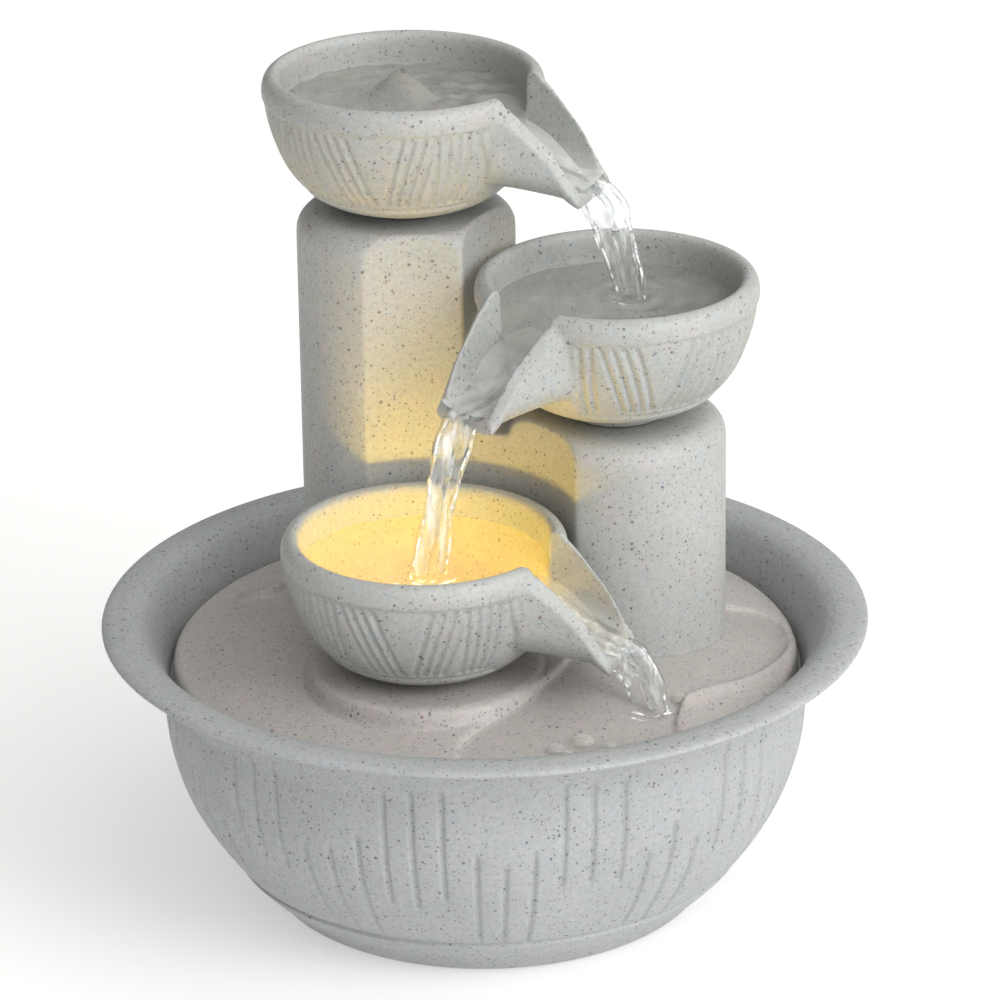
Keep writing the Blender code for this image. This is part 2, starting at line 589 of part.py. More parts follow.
def make_motor(mats):
    """The laminated core, its two coils, and the plate that closes the motor pocket."""
    x = PUMP_X
    half = PUMP_HALF_WIDTH
    back = PUMP_BACK - 6.2
    core = new_object("stator_core", box((x - half + 4.0, back, PUMP_BOTTOM + 8.0),
                                         (x + half - 4.0, back + 4.0, PUMP_TOP - 14.0)),
                      mats["stator_steel"])
    for side in (-1, 1):
        middle = x + side * COIL_OFFSET
        low = (middle - 1.4, PUMP_FRONT + 13.0, PUMP_BOTTOM + 8.5)
        high = (middle + 1.4, back + 2.0, PUMP_TOP - 14.5)
        combine(core, box(low, high), "UNION")
    for side, name in ((-1, "stator_coil_left"), (1, "stator_coil_right")):
        middle = x + side * COIL_OFFSET
        coil = new_object(name, box((middle - 2.8, PUMP_FRONT + 15.0, PUMP_BOTTOM + 5.4),
                                    (middle + 2.8, back - 3.2, PUMP_TOP - 11.6)), mats["coil_copper"])
        combine(coil, box((middle - 1.8, PUMP_FRONT + 12.0, PUMP_BOTTOM + 8.0),
                          (middle + 1.8, back, PUMP_TOP - 14.0)), "DIFFERENCE")
    cover = box((x - half + 2.5 + GAP, PUMP_BACK - 1.9, PUMP_BOTTOM + 2.5 + GAP),
                (x + half - 2.5 - GAP, PUMP_BACK, PUMP_TOP - 9.5 - GAP))
    plate = new_object("motor_cover", cover, mats["black_plastic"])
    boss = along_y([(1.8, PUMP_BACK - 1.0), (5.0, PUMP_BACK - 1.0), (4.6, PUMP_BACK + 3.4),
                    (1.8, PUMP_BACK + 3.4)], 16, x + 9.0, PUMP_BOTTOM + 8.0)
    combine(plate, along_y(tube_profile(0.0, 1.8, PUMP_BACK - 4.0, PUMP_BACK + 4.0), 16, x + 9.0,
                           PUMP_BOTTOM + 8.0), "DIFFERENCE")
    combine(plate, boss, "UNION")


def make_rotor(mats):
    """The magnet rotor with its blades, on a fixed shaft between two bushes."""
    x, z = PUMP_X, ROTOR_Z
    front = PUMP_FRONT
    origin = (x, front + 12.0, z)
    magnet = tube_profile(3.3, 8.2, front + 9.8, front + 24.0)
    new_object("rotor_magnet", along_y(magnet, 24, x, z), mats["rotor_ferrite"], origin)
    hub = [(SHAFT_R + GAP, front + 2.2), (3.0, front + 2.2), (3.0, front + 24.0),
           (SHAFT_R + GAP, front + 24.0)]
    wheel = new_object("impeller", along_y(hub, 20, x, z), mats["black_plastic"], origin)
    disc = tube_profile(2.0, 9.8, front + 7.3, front + 8.6)
    combine(wheel, along_y(disc, 28, x, z), "UNION")
    for i in range(5):
        blade = box((2.2, -0.6, 0.0), (9.6, 0.6, 4.8))
        turn = Matrix.Rotation(math.tau * i / 5 + 0.2, 3, "Z")
        bmesh.ops.rotate(blade, verts=blade.verts, cent=(0.0, 0.0, 0.0), matrix=turn)
        for vert in blade.verts:
            across, up, depth = vert.co
            vert.co = Vector((x + across, front + 3.0 + depth, z + up))
        combine(wheel, blade, "UNION")
    shaft = tube_profile(0.0, SHAFT_R, front - 0.4, front + 26.4)
    new_object("impeller_shaft", along_y(shaft, 16, x, z), mats["ceramic_shaft"])
    rear = [(SHAFT_R + GAP, front + 24.6), (4.0, front + 24.6), (4.0, front + 27.4), (0.0, front + 27.4),
            (0.0, front + 26.8), (SHAFT_R + GAP, front + 26.8)]
    new_object("shaft_bush_rear", along_y(rear, 16, x, z), mats["black_rubber"])
    fore = tube_profile(SHAFT_R + GAP, 2.7, front - 0.2, front + 1.7)
    new_object("shaft_bush_front", along_y(fore, 16, x, z), mats["black_rubber"])


def make_wet_end(mats):
    """The plate over the impeller, the intake cover with its sponge, and the flow dial."""
    x, z = PUMP_X, ROTOR_Z
    front = PUMP_FRONT
    plate_back = front - GAP
    ring = along_y(tube_profile(6.6, 12.4, plate_back - 1.8, plate_back), 28, x, z)
    plate = new_object("volute_plate", ring, mats["black_plastic"])
    combine(plate, along_y(tube_profile(1.3, 3.4, plate_back - 1.7, plate_back - 0.1), 20, x, z), "UNION")
    for i in range(3):
        arm = box((2.2, -0.8, 0.0), (7.4, 0.8, 1.4))
        turn = Matrix.Rotation(math.tau * i / 3, 3, "Z")
        bmesh.ops.rotate(arm, verts=arm.verts, cent=(0.0, 0.0, 0.0), matrix=turn)
        for vert in arm.verts:
            across, up, depth = vert.co
            vert.co = Vector((x + across, plate_back - 1.6 + depth, z + up))
        combine(plate, arm, "UNION")

    half = PUMP_HALF_WIDTH
    low = (x - half, front - 13.0, PUMP_BOTTOM)
    high = (x + half, front - GAP, PUMP_TOP)
    cover = new_object("intake_cover", rounded_box(low, high, 3.0), mats["black_plastic"])
    combine(cover, box((x - half + 1.6, front - 11.0, PUMP_BOTTOM + 1.6),
                       (x + half - 1.6, front + 2.0, PUMP_TOP - 1.6)), "DIFFERENCE")
    for i in range(5):
        slot_x = x - 12.0 + 6.0 * i
        if i == 2:
            continue
        combine(cover, box((slot_x - 1.3, front - 15.0, PUMP_BOTTOM + 5.0),
                           (slot_x + 1.3, front - 9.0, PUMP_TOP - 5.0)), "DIFFERENCE")
    combine(cover, along_y(tube_profile(0.0, 1.7, front - 15.0, front - 9.0), 16, x, z), "DIFFERENCE")
    sponge = box((x - half + 2.6, front - 10.6, PUMP_BOTTOM + 2.6),
                 (x + half - 2.6, front - 4.4, PUMP_TOP - 2.6))
    pad = new_object("filter_sponge", sponge, mats["filter_sponge"])
    combine(pad, along_y(tube_profile(0.0, 3.4, front - 12.0, front - 2.0), 16, x, z), "DIFFERENCE")

    dial = [(0.0, front - 15.2), (4.6, front - 15.2), (4.6, front - 13.0 - GAP), (1.4, front - 13.0 - GAP),
            (1.4, front - 10.7), (2.6, front - 10.7), (2.6, front - 9.6), (0.0, front - 9.6)]
    knob = new_object("flow_dial", along_y(dial, 20, x, z), mats["black_plastic"], (x, front - 14.0, z))
    combine(knob, box((x - 0.9, front - 17.0, z - 0.4), (x + 0.9, front - 14.8, z + 8.2)), "UNION")


def make_suction_cups(mats):
    """Four cups that hold the pump to the basin's floor."""
    half = PUMP_HALF_WIDTH - 6.0
    places = [(PUMP_X - half, PUMP_FRONT + 6.0), (PUMP_X + half, PUMP_FRONT + 6.0),
              (PUMP_X - half + 2.0, PUMP_BACK - 9.0), (PUMP_X + half, PUMP_BACK - 9.0)]
    low = BASIN_FLOOR + GAP
    top = PUMP_BOTTOM - GAP
    for i, at in enumerate(places):
        cup = [(0.0, low + 1.0), (3.6, low + 0.5), (5.2, low), (5.6, low + 0.3), (3.4, low + 1.9),
               (2.0, low + 2.6), (2.0, top), (0.0, top)]
        new_object(f"suction_cup_{i + 1}", turned(cup, 16, at), mats["black_rubber"])


def main():
    """Builds every piece of the fountain."""
    for obj in list(bpy.data.objects):
        bpy.data.objects.remove(obj)
    mats = make_materials()
    make_basin(mats)
    make_deck(mats)
    make_columns(mats)
    make_hose(mats)
    make_bowls(mats)
    make_lamp(mats)
    make_pump_body(mats)
    make_motor(mats)
    make_rotor(mats)
    make_wet_end(mats)
    make_suction_cups(mats)


main()
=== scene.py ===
"""The visual model of a tabletop water fountain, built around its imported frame.

Shapes are worked out in millimetres in the frame's own axes: +Z up, -Y to the front, and the
origin under the middle of the basin. make_piece turns them into metres.
"""
import json
import math

import bmesh
import bpy
import numpy as np
from mathutils import Matrix, Vector


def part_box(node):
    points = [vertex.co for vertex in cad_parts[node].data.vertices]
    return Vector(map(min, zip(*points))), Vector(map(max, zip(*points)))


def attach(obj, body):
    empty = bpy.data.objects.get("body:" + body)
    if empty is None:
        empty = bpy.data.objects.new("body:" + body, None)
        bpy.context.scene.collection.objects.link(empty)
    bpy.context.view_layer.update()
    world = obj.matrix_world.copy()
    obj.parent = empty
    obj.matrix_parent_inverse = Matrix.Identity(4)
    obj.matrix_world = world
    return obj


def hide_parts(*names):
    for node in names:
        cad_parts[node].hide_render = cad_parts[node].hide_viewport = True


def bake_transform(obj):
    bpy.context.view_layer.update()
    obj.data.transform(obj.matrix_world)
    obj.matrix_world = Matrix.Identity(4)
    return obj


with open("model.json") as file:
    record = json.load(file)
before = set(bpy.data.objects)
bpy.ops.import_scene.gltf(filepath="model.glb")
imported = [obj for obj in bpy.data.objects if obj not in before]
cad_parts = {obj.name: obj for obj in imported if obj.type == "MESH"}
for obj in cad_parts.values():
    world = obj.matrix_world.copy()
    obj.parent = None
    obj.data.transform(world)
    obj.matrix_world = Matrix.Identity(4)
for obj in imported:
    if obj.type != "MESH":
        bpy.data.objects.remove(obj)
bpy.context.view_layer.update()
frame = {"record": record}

MM = 0.001
RNG = np.random.default_rng(7)


def lowest(node):
    """The lowest corner of a CAD node's box, in millimetres."""
    return [round(value / MM, 3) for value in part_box(node)[0]]


def highest(node):
    """The highest corner of a CAD node's box, in millimetres."""
    return [round(value / MM, 3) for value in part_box(node)[1]]


def centre_of(node):
    """The middle of a CAD node's box in plan."""
    return tuple(round((a + b) / 2, 3) for a, b in zip(lowest(node)[:2], highest(node)[:2]))


# Basin
RIM_R, _, RIM_TOP = highest("basin")
WALL_START = 6.5             # the outside wall bulges from here, with WALL_R, up to the throat
WALL_R = 61.6
THROAT_Z = 58.0
THROAT_R = 84.2
BASIN_WALL = 2.6
BASIN_FLOOR = 6.0
LEDGE_Z = 60.7
GROOVE_TOP = 65.6
GROOVE_BOTTOM = 13.4
GROOVE_GROUPS = 22
GROOVE_FIRST = -134.3        # azimuth of the middle of the first group, in degrees
GROOVE_PITCH = 5.4
FRONT_GROUPS = 6             # these stand a little closer together than the rest
FRONT_SPACING = 15.8
RING_Z = 12.7                # the line round the basin under the carving
GROOVE_R = 80.0              # the wall's radius beside the carving, near enough for widths
GROOVE_HALF_WIDTH = 1.05
GROOVE_DEPTH = 0.8
LONG_GROOVE_END = 31.0       # where the lines that start under the lip end, on average
SHORT_GROOVE_START = 44.5    # where the lines that reach the ring line start, on average
FEET_R = 43.0
OUTLET_Z = 26.0              # the height of the lead's outlet through the basin's back
BOSS_START = 68.2
GROMMET_START = 81.2
WATER_LEVEL = 44.0

# Deck
DECK_R, _, PAD_TOP = highest("deck_plate")
DECK_TOP = 75.0
DECK_FLAT_R = 38.0
DECK_DROP = 9.0
POOL_DEPTH = 1.6
PAD_R = 31.0
DECK_UNDER = 3.6             # the deck's thickness
DECK_ROUND = 2.1
LIP_HEIGHT = 1.5             # the raised lip beside the pool
LIP_HALF = 2.1
BUTTON = (-59.4, 28.5)       # the low round button on the deck's left
BUTTON_R = 5.7
BUTTON_HEIGHT = 1.9
LAMP_HOLE_R = 11.5           # the hole in the pad that the lower bowl's lamp passes through

# The bowls' places; the middle bowl's spout points away from its highest corner
TALL = centre_of("riser_hose")
LOW = centre_of("lamp_housing")
BOWL_R = round(highest("top_bowl")[1] - TALL[1], 3)
SHORT = tuple(round(value - BOWL_R, 3) for value in highest("middle_bowl")[:2])

# Columns
TALL_R = round(TALL[0] - lowest("column_shell")[0], 3)
TALL_TOP = highest("column_shell")[2]
SHORT_R = round(highest("column_shell")[0] - SHORT[0], 3)
SHORT_TOP = 130.3
WEB_TOP = 124.0
WEB_HALF = 17.0
WEB_REACH = 14.0             # the wall between the columns starts this far from their axes
COLUMN_BASE = 64.0
COLUMN_ROUND = 6.0
SCOOP_R = 39.5               # the hollow round a bowl, cut into the columns beside it
SOCKET_DEPTH = 14.0
OVER_ALL = 200.0             # a height above every cut

# Bowls
BOWL_BASE = -34.5
BOWL_FOOT_R = 13.0
SPIGOT_R = 10.0
SPIGOT_LENGTH = 8.5
SPIGOT_HOLE_R = 10.5
SPOUT_REACH = 53.5
BOWLS = {
    "top_bowl": {"at": TALL, "rim": highest("top_bowl")[2], "spout": -25.0, "body": "top"},
    "middle_bowl": {"at": SHORT, "rim": highest("middle_bowl")[2], "spout": -138.0, "body": "middle"},
    "lower_bowl": {"at": LOW, "rim": highest("lower_bowl")[2], "spout": -21.6, "body": "lower"},
}
BAND_TOP = -5.9              # the carved band round a bowl, from its rim
BAND_BOTTOM = -29.2
BAND_DEPTH = 0.42
BAND_LINE_DEPTH = 0.62
BAND_FIRST = -122.4          # azimuth from the spout, in degrees
BAND_PERIOD = 72.0
BAND_LINES = 4
BAND_GROUPS = [(0.0, 0.0, 4.7), (17.5, 11.0, 4.9), (58.0, -10.0, 4.7)]     # offset, lean, pitch
POOL_DROP = 8.5              # the water in a bowl stands this far under its rim
POOL_R = 32.3208             # a little into the wall, so that no gap shows
MOUTH_DROP = 4.0             # the water dips this much where it enters the spout

# The streams' points: rows along the fall, and columns across the sheet
STREAM_ROWS = 110
FILM_COLS = 26
THREADS = [(-0.5, 0.75), (0.5, 0.75), (0.08, 0.9)]      # place across the sheet, and thickness

# The lower bowl's lamp
LAMP_DROP = 22.0             # under the bowl's rim
LAMP_COLOR = (1.0, 0.68, 0.08)
UP = (0.0, 0.0, 1.0)

# Stage and camera, in metres and radians
FLOOR_HALF = 6.0
WORLD_BASE = 0.06            # the dimmest the surroundings get
CAMERA_PLACE = (0.0044, -1.300, 0.6488)
CAMERA_PITCH = 0.3946
CAMERA_ROLL = -0.0143
CAMERA_LENS = 195.6          # in millimetres, on a sensor 36 mm wide


# ---------------------------------------------------------------- mesh tools

def new_mesh(name, points, faces, weld=0.0):
    """A mesh with its faces turned outwards, and points closer than weld made one."""
    mesh = bpy.data.meshes.new(name)
    mesh.from_pydata(np.asarray(points).tolist(), [], [tuple(f) for f in faces])
    data = bmesh.new()
    data.from_mesh(mesh)
    if weld:
        bmesh.ops.remove_doubles(data, verts=data.verts, dist=weld)
    bmesh.ops.recalc_face_normals(data, faces=data.faces)
    data.to_mesh(mesh)
    data.free()
    return mesh


def make_piece(name, points, faces, mat, body, replaced=(), slot=None):
    """A mesh from points in millimetres that rides on a body and may stand for CAD nodes."""
    return dress(new_mesh(name, np.asarray(points) * MM, faces), name, mat, body, replaced)


def dress(mesh, name, mat, body, replaced=()):
    """Puts a finished mesh in the scene with its material, body and CAD nodes."""
    mesh.materials.clear()
    mesh.materials.append(mat)
    mesh.shade_smooth()
    obj = bpy.data.objects.new(name, mesh)
    bpy.context.scene.collection.objects.link(obj)
    if body:
        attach(obj, body)
    if replaced:
        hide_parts(*replaced)
    return obj


def grid_faces(rows, cols, around=True, closed=False):
    """Quads over a grid of points: the columns may run round, and the rows may close up."""
    i = np.arange(rows if closed else rows - 1)[:, None]
    j = np.arange(cols if around else cols - 1)[None, :]
    k = (i + 1) % rows
    m = (j + 1) % cols
    corners = (i * cols + j, i * cols + m, k * cols + m, k * cols + j)
    return np.stack(np.broadcast_arrays(*corners), axis=-1).reshape(-1, 4)


def smooth_line(points, steps):
    """An open Catmull-Rom curve through the points."""
    p = np.asarray(points, float)
    p = np.vstack([2 * p[0] - p[1], p, 2 * p[-1] - p[-2]])
    t = np.arange(steps)[:, None] / steps
    pieces = []
    for a, b, c, d in zip(p, p[1:], p[2:], p[3:]):
        pieces.append(0.5 * (2 * b + (c - a) * t + (2 * a - 5 * b + 4 * c - d) * t ** 2
                             + (3 * b - a - 3 * c + d) * t ** 3))
    pieces.append(p[-2][None, :])
    return np.vstack(pieces)


def smooth_step(value, low, high):
    """0 below low, 1 above high, and a soft ramp between."""
    t = np.clip((value - low) / (high - low), 0.0, 1.0)
    return t * t * (3 - 2 * t)


def plateau(value, low, low_end, high_start, high):
    """1 between two soft ramps, 0 outside them."""
    return smooth_step(value, low, low_end) * (1.0 - smooth_step(value, high_start, high))


def dip(across, half_width, power):
    """The section of a carved line: 1 in its middle, 0 from half_width on."""
    return np.cos(np.clip(np.abs(across) / half_width, 0.0, 1.0) * math.pi / 2) ** power


def ripple_noise(x, y, scale, seed):
    """A smooth field between -1 and 1: a sum of waves with seeded directions."""
    rng = np.random.default_rng(seed)
    total = np.zeros(np.broadcast(x, y).shape)
    for _ in range(9):
        angle, phase = rng.uniform(0, math.tau, 2)
        length = scale * rng.uniform(0.5, 1.5)
        total = total + np.sin((x * math.cos(angle) + y * math.sin(angle)) * math.tau / length + phase)
    return total / 4.5


def round_angles(count):
    """Evenly spaced angles over a full turn."""
    return np.linspace(0, math.tau, count, endpoint=False)


def polar(radii, angles):
    """x and y over a grid of radii and angles."""
    return radii[:, None] * np.cos(angles)[None, :], radii[:, None] * np.sin(angles)[None, :]


def distance(x, y, place):
    """How far points are from a place in plan."""
    return np.hypot(x - place[0], y - place[1])


def turned_points(profile, angles, at=(0.0, 0.0), lift=0.0):
    """Rows of points: a profile of (radius, height) turned through the angles."""
    x, y = polar(profile[:, 0], angles)
    z = np.repeat(profile[:, 1][:, None], len(angles), axis=1) + lift
    return np.stack([at[0] + x, at[1] + y, z], axis=-1)


def solid_of(points, faces):
    """A temporary object in millimetres for cutting and joining."""
    obj = bpy.data.objects.new("solid", new_mesh("solid", points, faces, 1e-4))
    bpy.context.scene.collection.objects.link(obj)
    return obj


def turned_solid(profile, segments, at=(0.0, 0.0)):
    """A temporary solid of revolution; the profile starts and ends on the axis, or closes up."""
    profile = np.asarray(profile, float)
    points = turned_points(profile, round_angles(segments), at)
    ends_on_axis = profile[0, 0] < 1e-6 and profile[-1, 0] < 1e-6
    faces = grid_faces(len(profile), segments, closed=not ends_on_axis)
    return solid_of(points.reshape(-1, 3), faces)


def capped_faces(rows, cols):
    """A tube's faces with a flat face over each end."""
    faces = [tuple(f) for f in grid_faces(rows, cols)]
    faces.append(tuple(reversed(range(cols))))
    faces.append(tuple(range((rows - 1) * cols, rows * cols)))
    return faces


def fan(first, cols, centre, inwards=False):
    """Triangles from a ring of points to the point in its middle."""
    ring = [(first + j, first + (j + 1) % cols) for j in range(cols)]
    return [(b, a, centre) if inwards else (a, b, centre) for a, b in ring]


def lofted_solid(loops):
    """A temporary solid over closed loops of points, with flat ends."""
    return solid_of(np.vstack(loops), capped_faces(len(loops), len(loops[0])))


def evaluated(obj):
    """The object's mesh with its modifiers applied."""
    graph = bpy.context.evaluated_depsgraph_get()
    return bpy.data.meshes.new_from_object(obj.evaluated_get(graph))


def combine(obj, tool, operation):
    """Joins, cuts or intersects a temporary solid with another, which is used up."""
    step = obj.modifiers.new("step", "BOOLEAN")
    step.operation = operation
    step.solver = "EXACT"
    step.object = tool
    bpy.context.view_layer.update()
    result = evaluated(obj)
    obj.modifiers.clear()
    obj.data = result
    bpy.data.objects.remove(tool)


def moulded(obj, voxel, rounds):
    """Rebuilds a solid as an even skin whose edges are softened like a moulding's."""
    remesh = obj.modifiers.new("remesh", "REMESH")
    remesh.mode = "VOXEL"
    remesh.voxel_size = voxel
    soften = obj.modifiers.new("soften", "SMOOTH")
    soften.factor = 0.5
    soften.iterations = rounds
    bpy.context.view_layer.update()
    mesh = evaluated(obj)
    bpy.data.objects.remove(obj)
    return mesh


def mesh_points(mesh):
    """A mesh's points and normals as arrays."""
    count = len(mesh.vertices)
    points = np.empty(count * 3)
    normals = np.empty(count * 3)
    mesh.vertices.foreach_get("co", points)
    mesh.vertex_normals.foreach_get("vector", normals)
    return points.reshape(-1, 3), normals.reshape(-1, 3)


def set_points(mesh, points):
    """Writes points back into a mesh."""
    mesh.vertices.foreach_set("co", np.asarray(points).reshape(-1))
    mesh.update()


def in_metres(mesh):
    """A mesh made in millimetres, scaled to metres."""
    set_points(mesh, mesh_points(mesh)[0] * MM)
    return mesh


# ---------------------------------------------------------------- materials

class Nodes:
    """A node tree with short ways to add to it."""

    def __init__(self, tree):
        self.tree = tree

    def node(self, kind, settings=None, **inputs):
        """Adds a node; an input may be a value or another node's output."""
        node = self.tree.nodes.new(kind)
        for key, value in (settings or {}).items():
            setattr(node, key, value)
        for key, value in inputs.items():
            numbered = key[0] == "i" and key[1:].isdigit()
            self.feed(node.inputs[int(key[1:]) if numbered else key], value)
        return node

    def feed(self, socket, value):
        """Sets a socket, or links an output to it; colours come without their alpha."""
        if isinstance(value, bpy.types.NodeSocket):
            self.tree.links.new(value, socket)
        else:
            socket.default_value = (*value, 1.0) if socket.type == "RGBA" else value

    def math(self, operation, a, b=0.0, clamp=False):
        """One arithmetic step."""
        node = self.node("ShaderNodeMath", {"operation": operation, "use_clamp": clamp}, i0=a, i1=b)
        return node.outputs[0]

    def span(self, value, low, high, new_low, new_high):
        """Maps one range onto another."""
        node = self.node("ShaderNodeMapRange")
        for socket, item in zip(node.inputs, (value, low, high, new_low, new_high)):
            self.feed(socket, item)
        return node.outputs[0]


class Shader(Nodes):
    """A node material around one Principled BSDF."""

    def __init__(self, name):
        self.mat = bpy.data.materials.new(name)
        self.mat.use_nodes = True
        super().__init__(self.mat.node_tree)
        self.bsdf = self.tree.nodes["Principled BSDF"]
        self.coords = self.node("ShaderNodeTexCoord").outputs["Object"]

    def set(self, **values):
        """Sets sockets of the Principled BSDF, with _ for a space in their names."""
        for key, value in values.items():
            self.feed(self.bsdf.inputs[key.replace("_", " ")], value)

    def noise(self, per_metre, detail=3.0, roughness=0.5):
        """A noise value between 0 and 1."""
        node = self.node("ShaderNodeTexNoise", None, Vector=self.coords, Scale=per_metre, Detail=detail,
                         Roughness=roughness)
        return node.outputs["Fac"]

    def mix(self, factor, a, b):
        """A blend of two colours."""
        node = self.node("ShaderNodeMix", {"data_type": "RGBA"})
        self.feed(node.inputs[0], factor)
        self.feed(node.inputs[6], a)
        self.feed(node.inputs[7], b)
        return node.outputs[2]

    def ramp(self, value, stops):
        """A colour ramp from (position, colour) stops."""
        node = self.node("ShaderNodeValToRGB", None, Fac=value)
        ramp = node.color_ramp
        while len(ramp.elements) < len(stops):
            ramp.elements.new(0.5)
        for element, (position, color) in zip(ramp.elements, stops):
            element.position = position
            element.color = (*color, 1.0)
        return node.outputs["Color"]

    def bump(self, height, strength, distance):
        """Feeds a bump to the surface."""
        node = self.node("ShaderNodeBump", None, Height=height, Strength=strength, Distance=distance)
        self.feed(self.bsdf.inputs["Normal"], node.outputs[0])


WHITE = (1.0, 1.0, 1.0)
SPECK_TONES = [(0.0, (0.035, 0.04, 0.075)), (0.35, (0.075, 0.06, 0.12)),
               (0.6, (0.15, 0.06, 0.06)), (0.8, (0.10, 0.105, 0.11)), (1.0, (0.05, 0.055, 0.09))]
# The four sizes of fleck: cell, radius, share of the cells that hold one, and strength
SPECKS = [(0.80, 0.28, 0.70, 0.36), (1.05, 0.36, 0.50, 0.52),
          (1.40, 0.45, 0.60, 0.58), (2.0, 0.55, 0.42, 0.70)]


def add_specks(s, color, cell, radius, share, strength):
    """Scatters fine flecks of mixed dark tones over a colour; sizes in millimetres."""
    cells = s.node("ShaderNodeTexVoronoi", None, Vector=s.coords, Scale=1.0 / (cell * MM),
                   Randomness=1.0)
    parts = s.node("ShaderNodeSeparateColor", None, Color=cells.outputs["Color"])
    pick, tone = parts.outputs[0], parts.outputs[1]
    reach = s.span(pick, 1.0 - share, 1.0, 0.3 * radius / cell, radius / cell)
    chosen = s.math("GREATER_THAN", pick, 1.0 - share)
    inside = s.math("SUBTRACT", reach, cells.outputs["Distance"])
    edge = s.math("DIVIDE", inside, 0.35 * radius / cell, True)
    factor = s.math("MULTIPLY", s.math("MULTIPLY", edge, chosen), strength)
    return s.mix(factor, color, s.ramp(tone, SPECK_TONES)), factor


def speckled(name, base, shade, roughness):
    """Matte cast plastic with mineral flecks: two tones of base colour, and four sizes of fleck."""
    s = Shader(name)
    cloud = s.noise(38.0, 4.0, 0.55)
    color = s.mix(s.span(cloud, 0.35, 0.65, 0.0, 1.0), shade, base)
    cool = (base[0] * 0.90, base[1] * 0.95, base[2] * 1.04)
    rosy = (base[0] * 1.03, base[1] * 0.93, base[2] * 0.97)
    dark = tuple(c * 0.62 for c in base)
    color = s.mix(s.span(s.noise(300.0, 2.0), 0.52, 0.68, 0.0, 0.75), color, cool)
    color = s.mix(s.span(s.noise(240.0, 2.5), 0.53, 0.70, 0.0, 0.75), color, rosy)
    color = s.mix(s.span(s.noise(750.0, 3.0), 0.35, 0.65, 0.0, 0.30), color, dark)
    for speck in SPECKS:
        color, marks = add_specks(s, color, *speck)
    rough = s.span(s.noise(220.0, 3.0), 0.3, 0.7, roughness - 0.06, roughness + 0.06)
    s.set(Base_Color=color, Roughness=rough, Specular_IOR_Level=0.42)
    pits = s.math("MULTIPLY", s.noise(620.0, 3.0), 0.7)
    height = s.math("ADD", pits, s.math("MULTIPLY", marks, -0.25))
    s.bump(height, 0.22, 0.00035)
    return s.mat


def plain(name, color, roughness, metallic=0.0, grain=500.0, depth=0.1, tint=0.12):
    """A moulded or machined surface with a little grain and uneven tone."""
    s = Shader(name)
    darker = tuple(c * (1.0 - tint) for c in color)
    lighter = tuple(min(c * (1.0 + tint) + 0.004, 1.0) for c in color)
    tone = s.span(s.noise(grain * 0.35, 4.0), 0.3, 0.7, 0.0, 1.0)
    s.set(Base_Color=s.mix(tone, darker, lighter), Metallic=metallic)
    smoothest = max(roughness - 0.07, 0.03)
    s.set(Roughness=s.span(s.noise(grain * 0.6, 3.0), 0.3, 0.7, smoothest, roughness + 0.07))
    s.bump(s.noise(grain * 2.0, 3.0), depth, 0.0003)
    return s.mat


def water_film(name, color, alpha, roughness=0.04, glow=None, glow_strength=0.0):
    """A still or creeping water surface: a glossy skin that lets most of what is under it through."""
    s = Shader(name)
    drift = s.noise(70.0, 3.0, 0.5)
    tone = tuple(min(c * 1.15, 1.0) for c in color)
    s.set(Base_Color=s.mix(s.span(drift, 0.35, 0.65, 0.0, 1.0), color, tone))
    s.set(Roughness=roughness, IOR=1.33)
    s.set(Alpha=s.span(drift, 0.3, 0.7, alpha * 0.8, min(alpha * 1.2, 1.0)))
    # glow is painted light: water that a lamp shines through is given a faint emission
    if glow:
        s.set(Emission_Color=glow, Emission_Strength=glow_strength)
    s.bump(s.noise(160.0, 2.0), 0.25, 0.0008)
    return s.mat


def stream_sheet(name):
    """Broken white water, clear in places, with streaks drawn out along the fall."""
    s = Shader(name)
    drawn = s.node("ShaderNodeVectorMath", {"operation": "MULTIPLY"}, i0=s.coords, i1=(380.0, 380.0, 70.0))
    streaks = s.node("ShaderNodeTexNoise", None, Vector=drawn.outputs[0], Scale=1.0, Detail=4.0)
    streak = streaks.outputs["Fac"]
    s.set(Base_Color=s.mix(streak, (0.78, 0.83, 0.84), WHITE))
    s.set(Roughness=0.08, IOR=1.33, Alpha=s.span(streak, 0.40, 0.66, 0.08, 0.72))
    # painted light: a faint glow brightens the white water
    s.set(Emission_Color=(0.95, 0.98, 1.0), Emission_Strength=0.06)
    s.bump(streak, 0.6, 0.0012)
    return s.mat


def glint(name):
    """Bright sparkle that breaks up along the edges of falling water."""
    s = Shader(name)
    breakup = s.noise(420.0, 3.0)
    s.set(Base_Color=s.mix(breakup, (0.9, 0.94, 0.95), WHITE))
    s.set(Roughness=0.05, IOR=1.33, Alpha=s.span(breakup, 0.46, 0.60, 0.0, 0.9))
    # painted glints: the strands glow white in place of light caught on the water
    s.set(Emission_Color=WHITE, Emission_Strength=0.30)
    s.bump(breakup, 0.5, 0.0004)
    return s.mat


def clear_water(name):
    """Falling water: clear, with fine streaks."""
    s = Shader(name)
    streak = s.noise(420.0, 3.0)
    s.set(Base_Color=s.mix(streak, (0.93, 0.97, 0.97), WHITE))
    s.set(Roughness=0.04, IOR=1.33, Transmission_Weight=1.0)
    s.bump(streak, 0.3, 0.0006)
    return s.mat


def lit(name, color, glow, strength):
    """Warm resin lit from behind."""
    s = Shader(name)
    bright = tuple(min(c * 1.1, 1.0) for c in color)
    s.set(Base_Color=s.mix(s.noise(300.0, 2.0), color, bright))
    s.set(Roughness=0.2, Emission_Color=glow, Emission_Strength=strength)
    s.bump(s.noise(1200.0, 2.0), 0.1, 0.0002)
    return s.mat


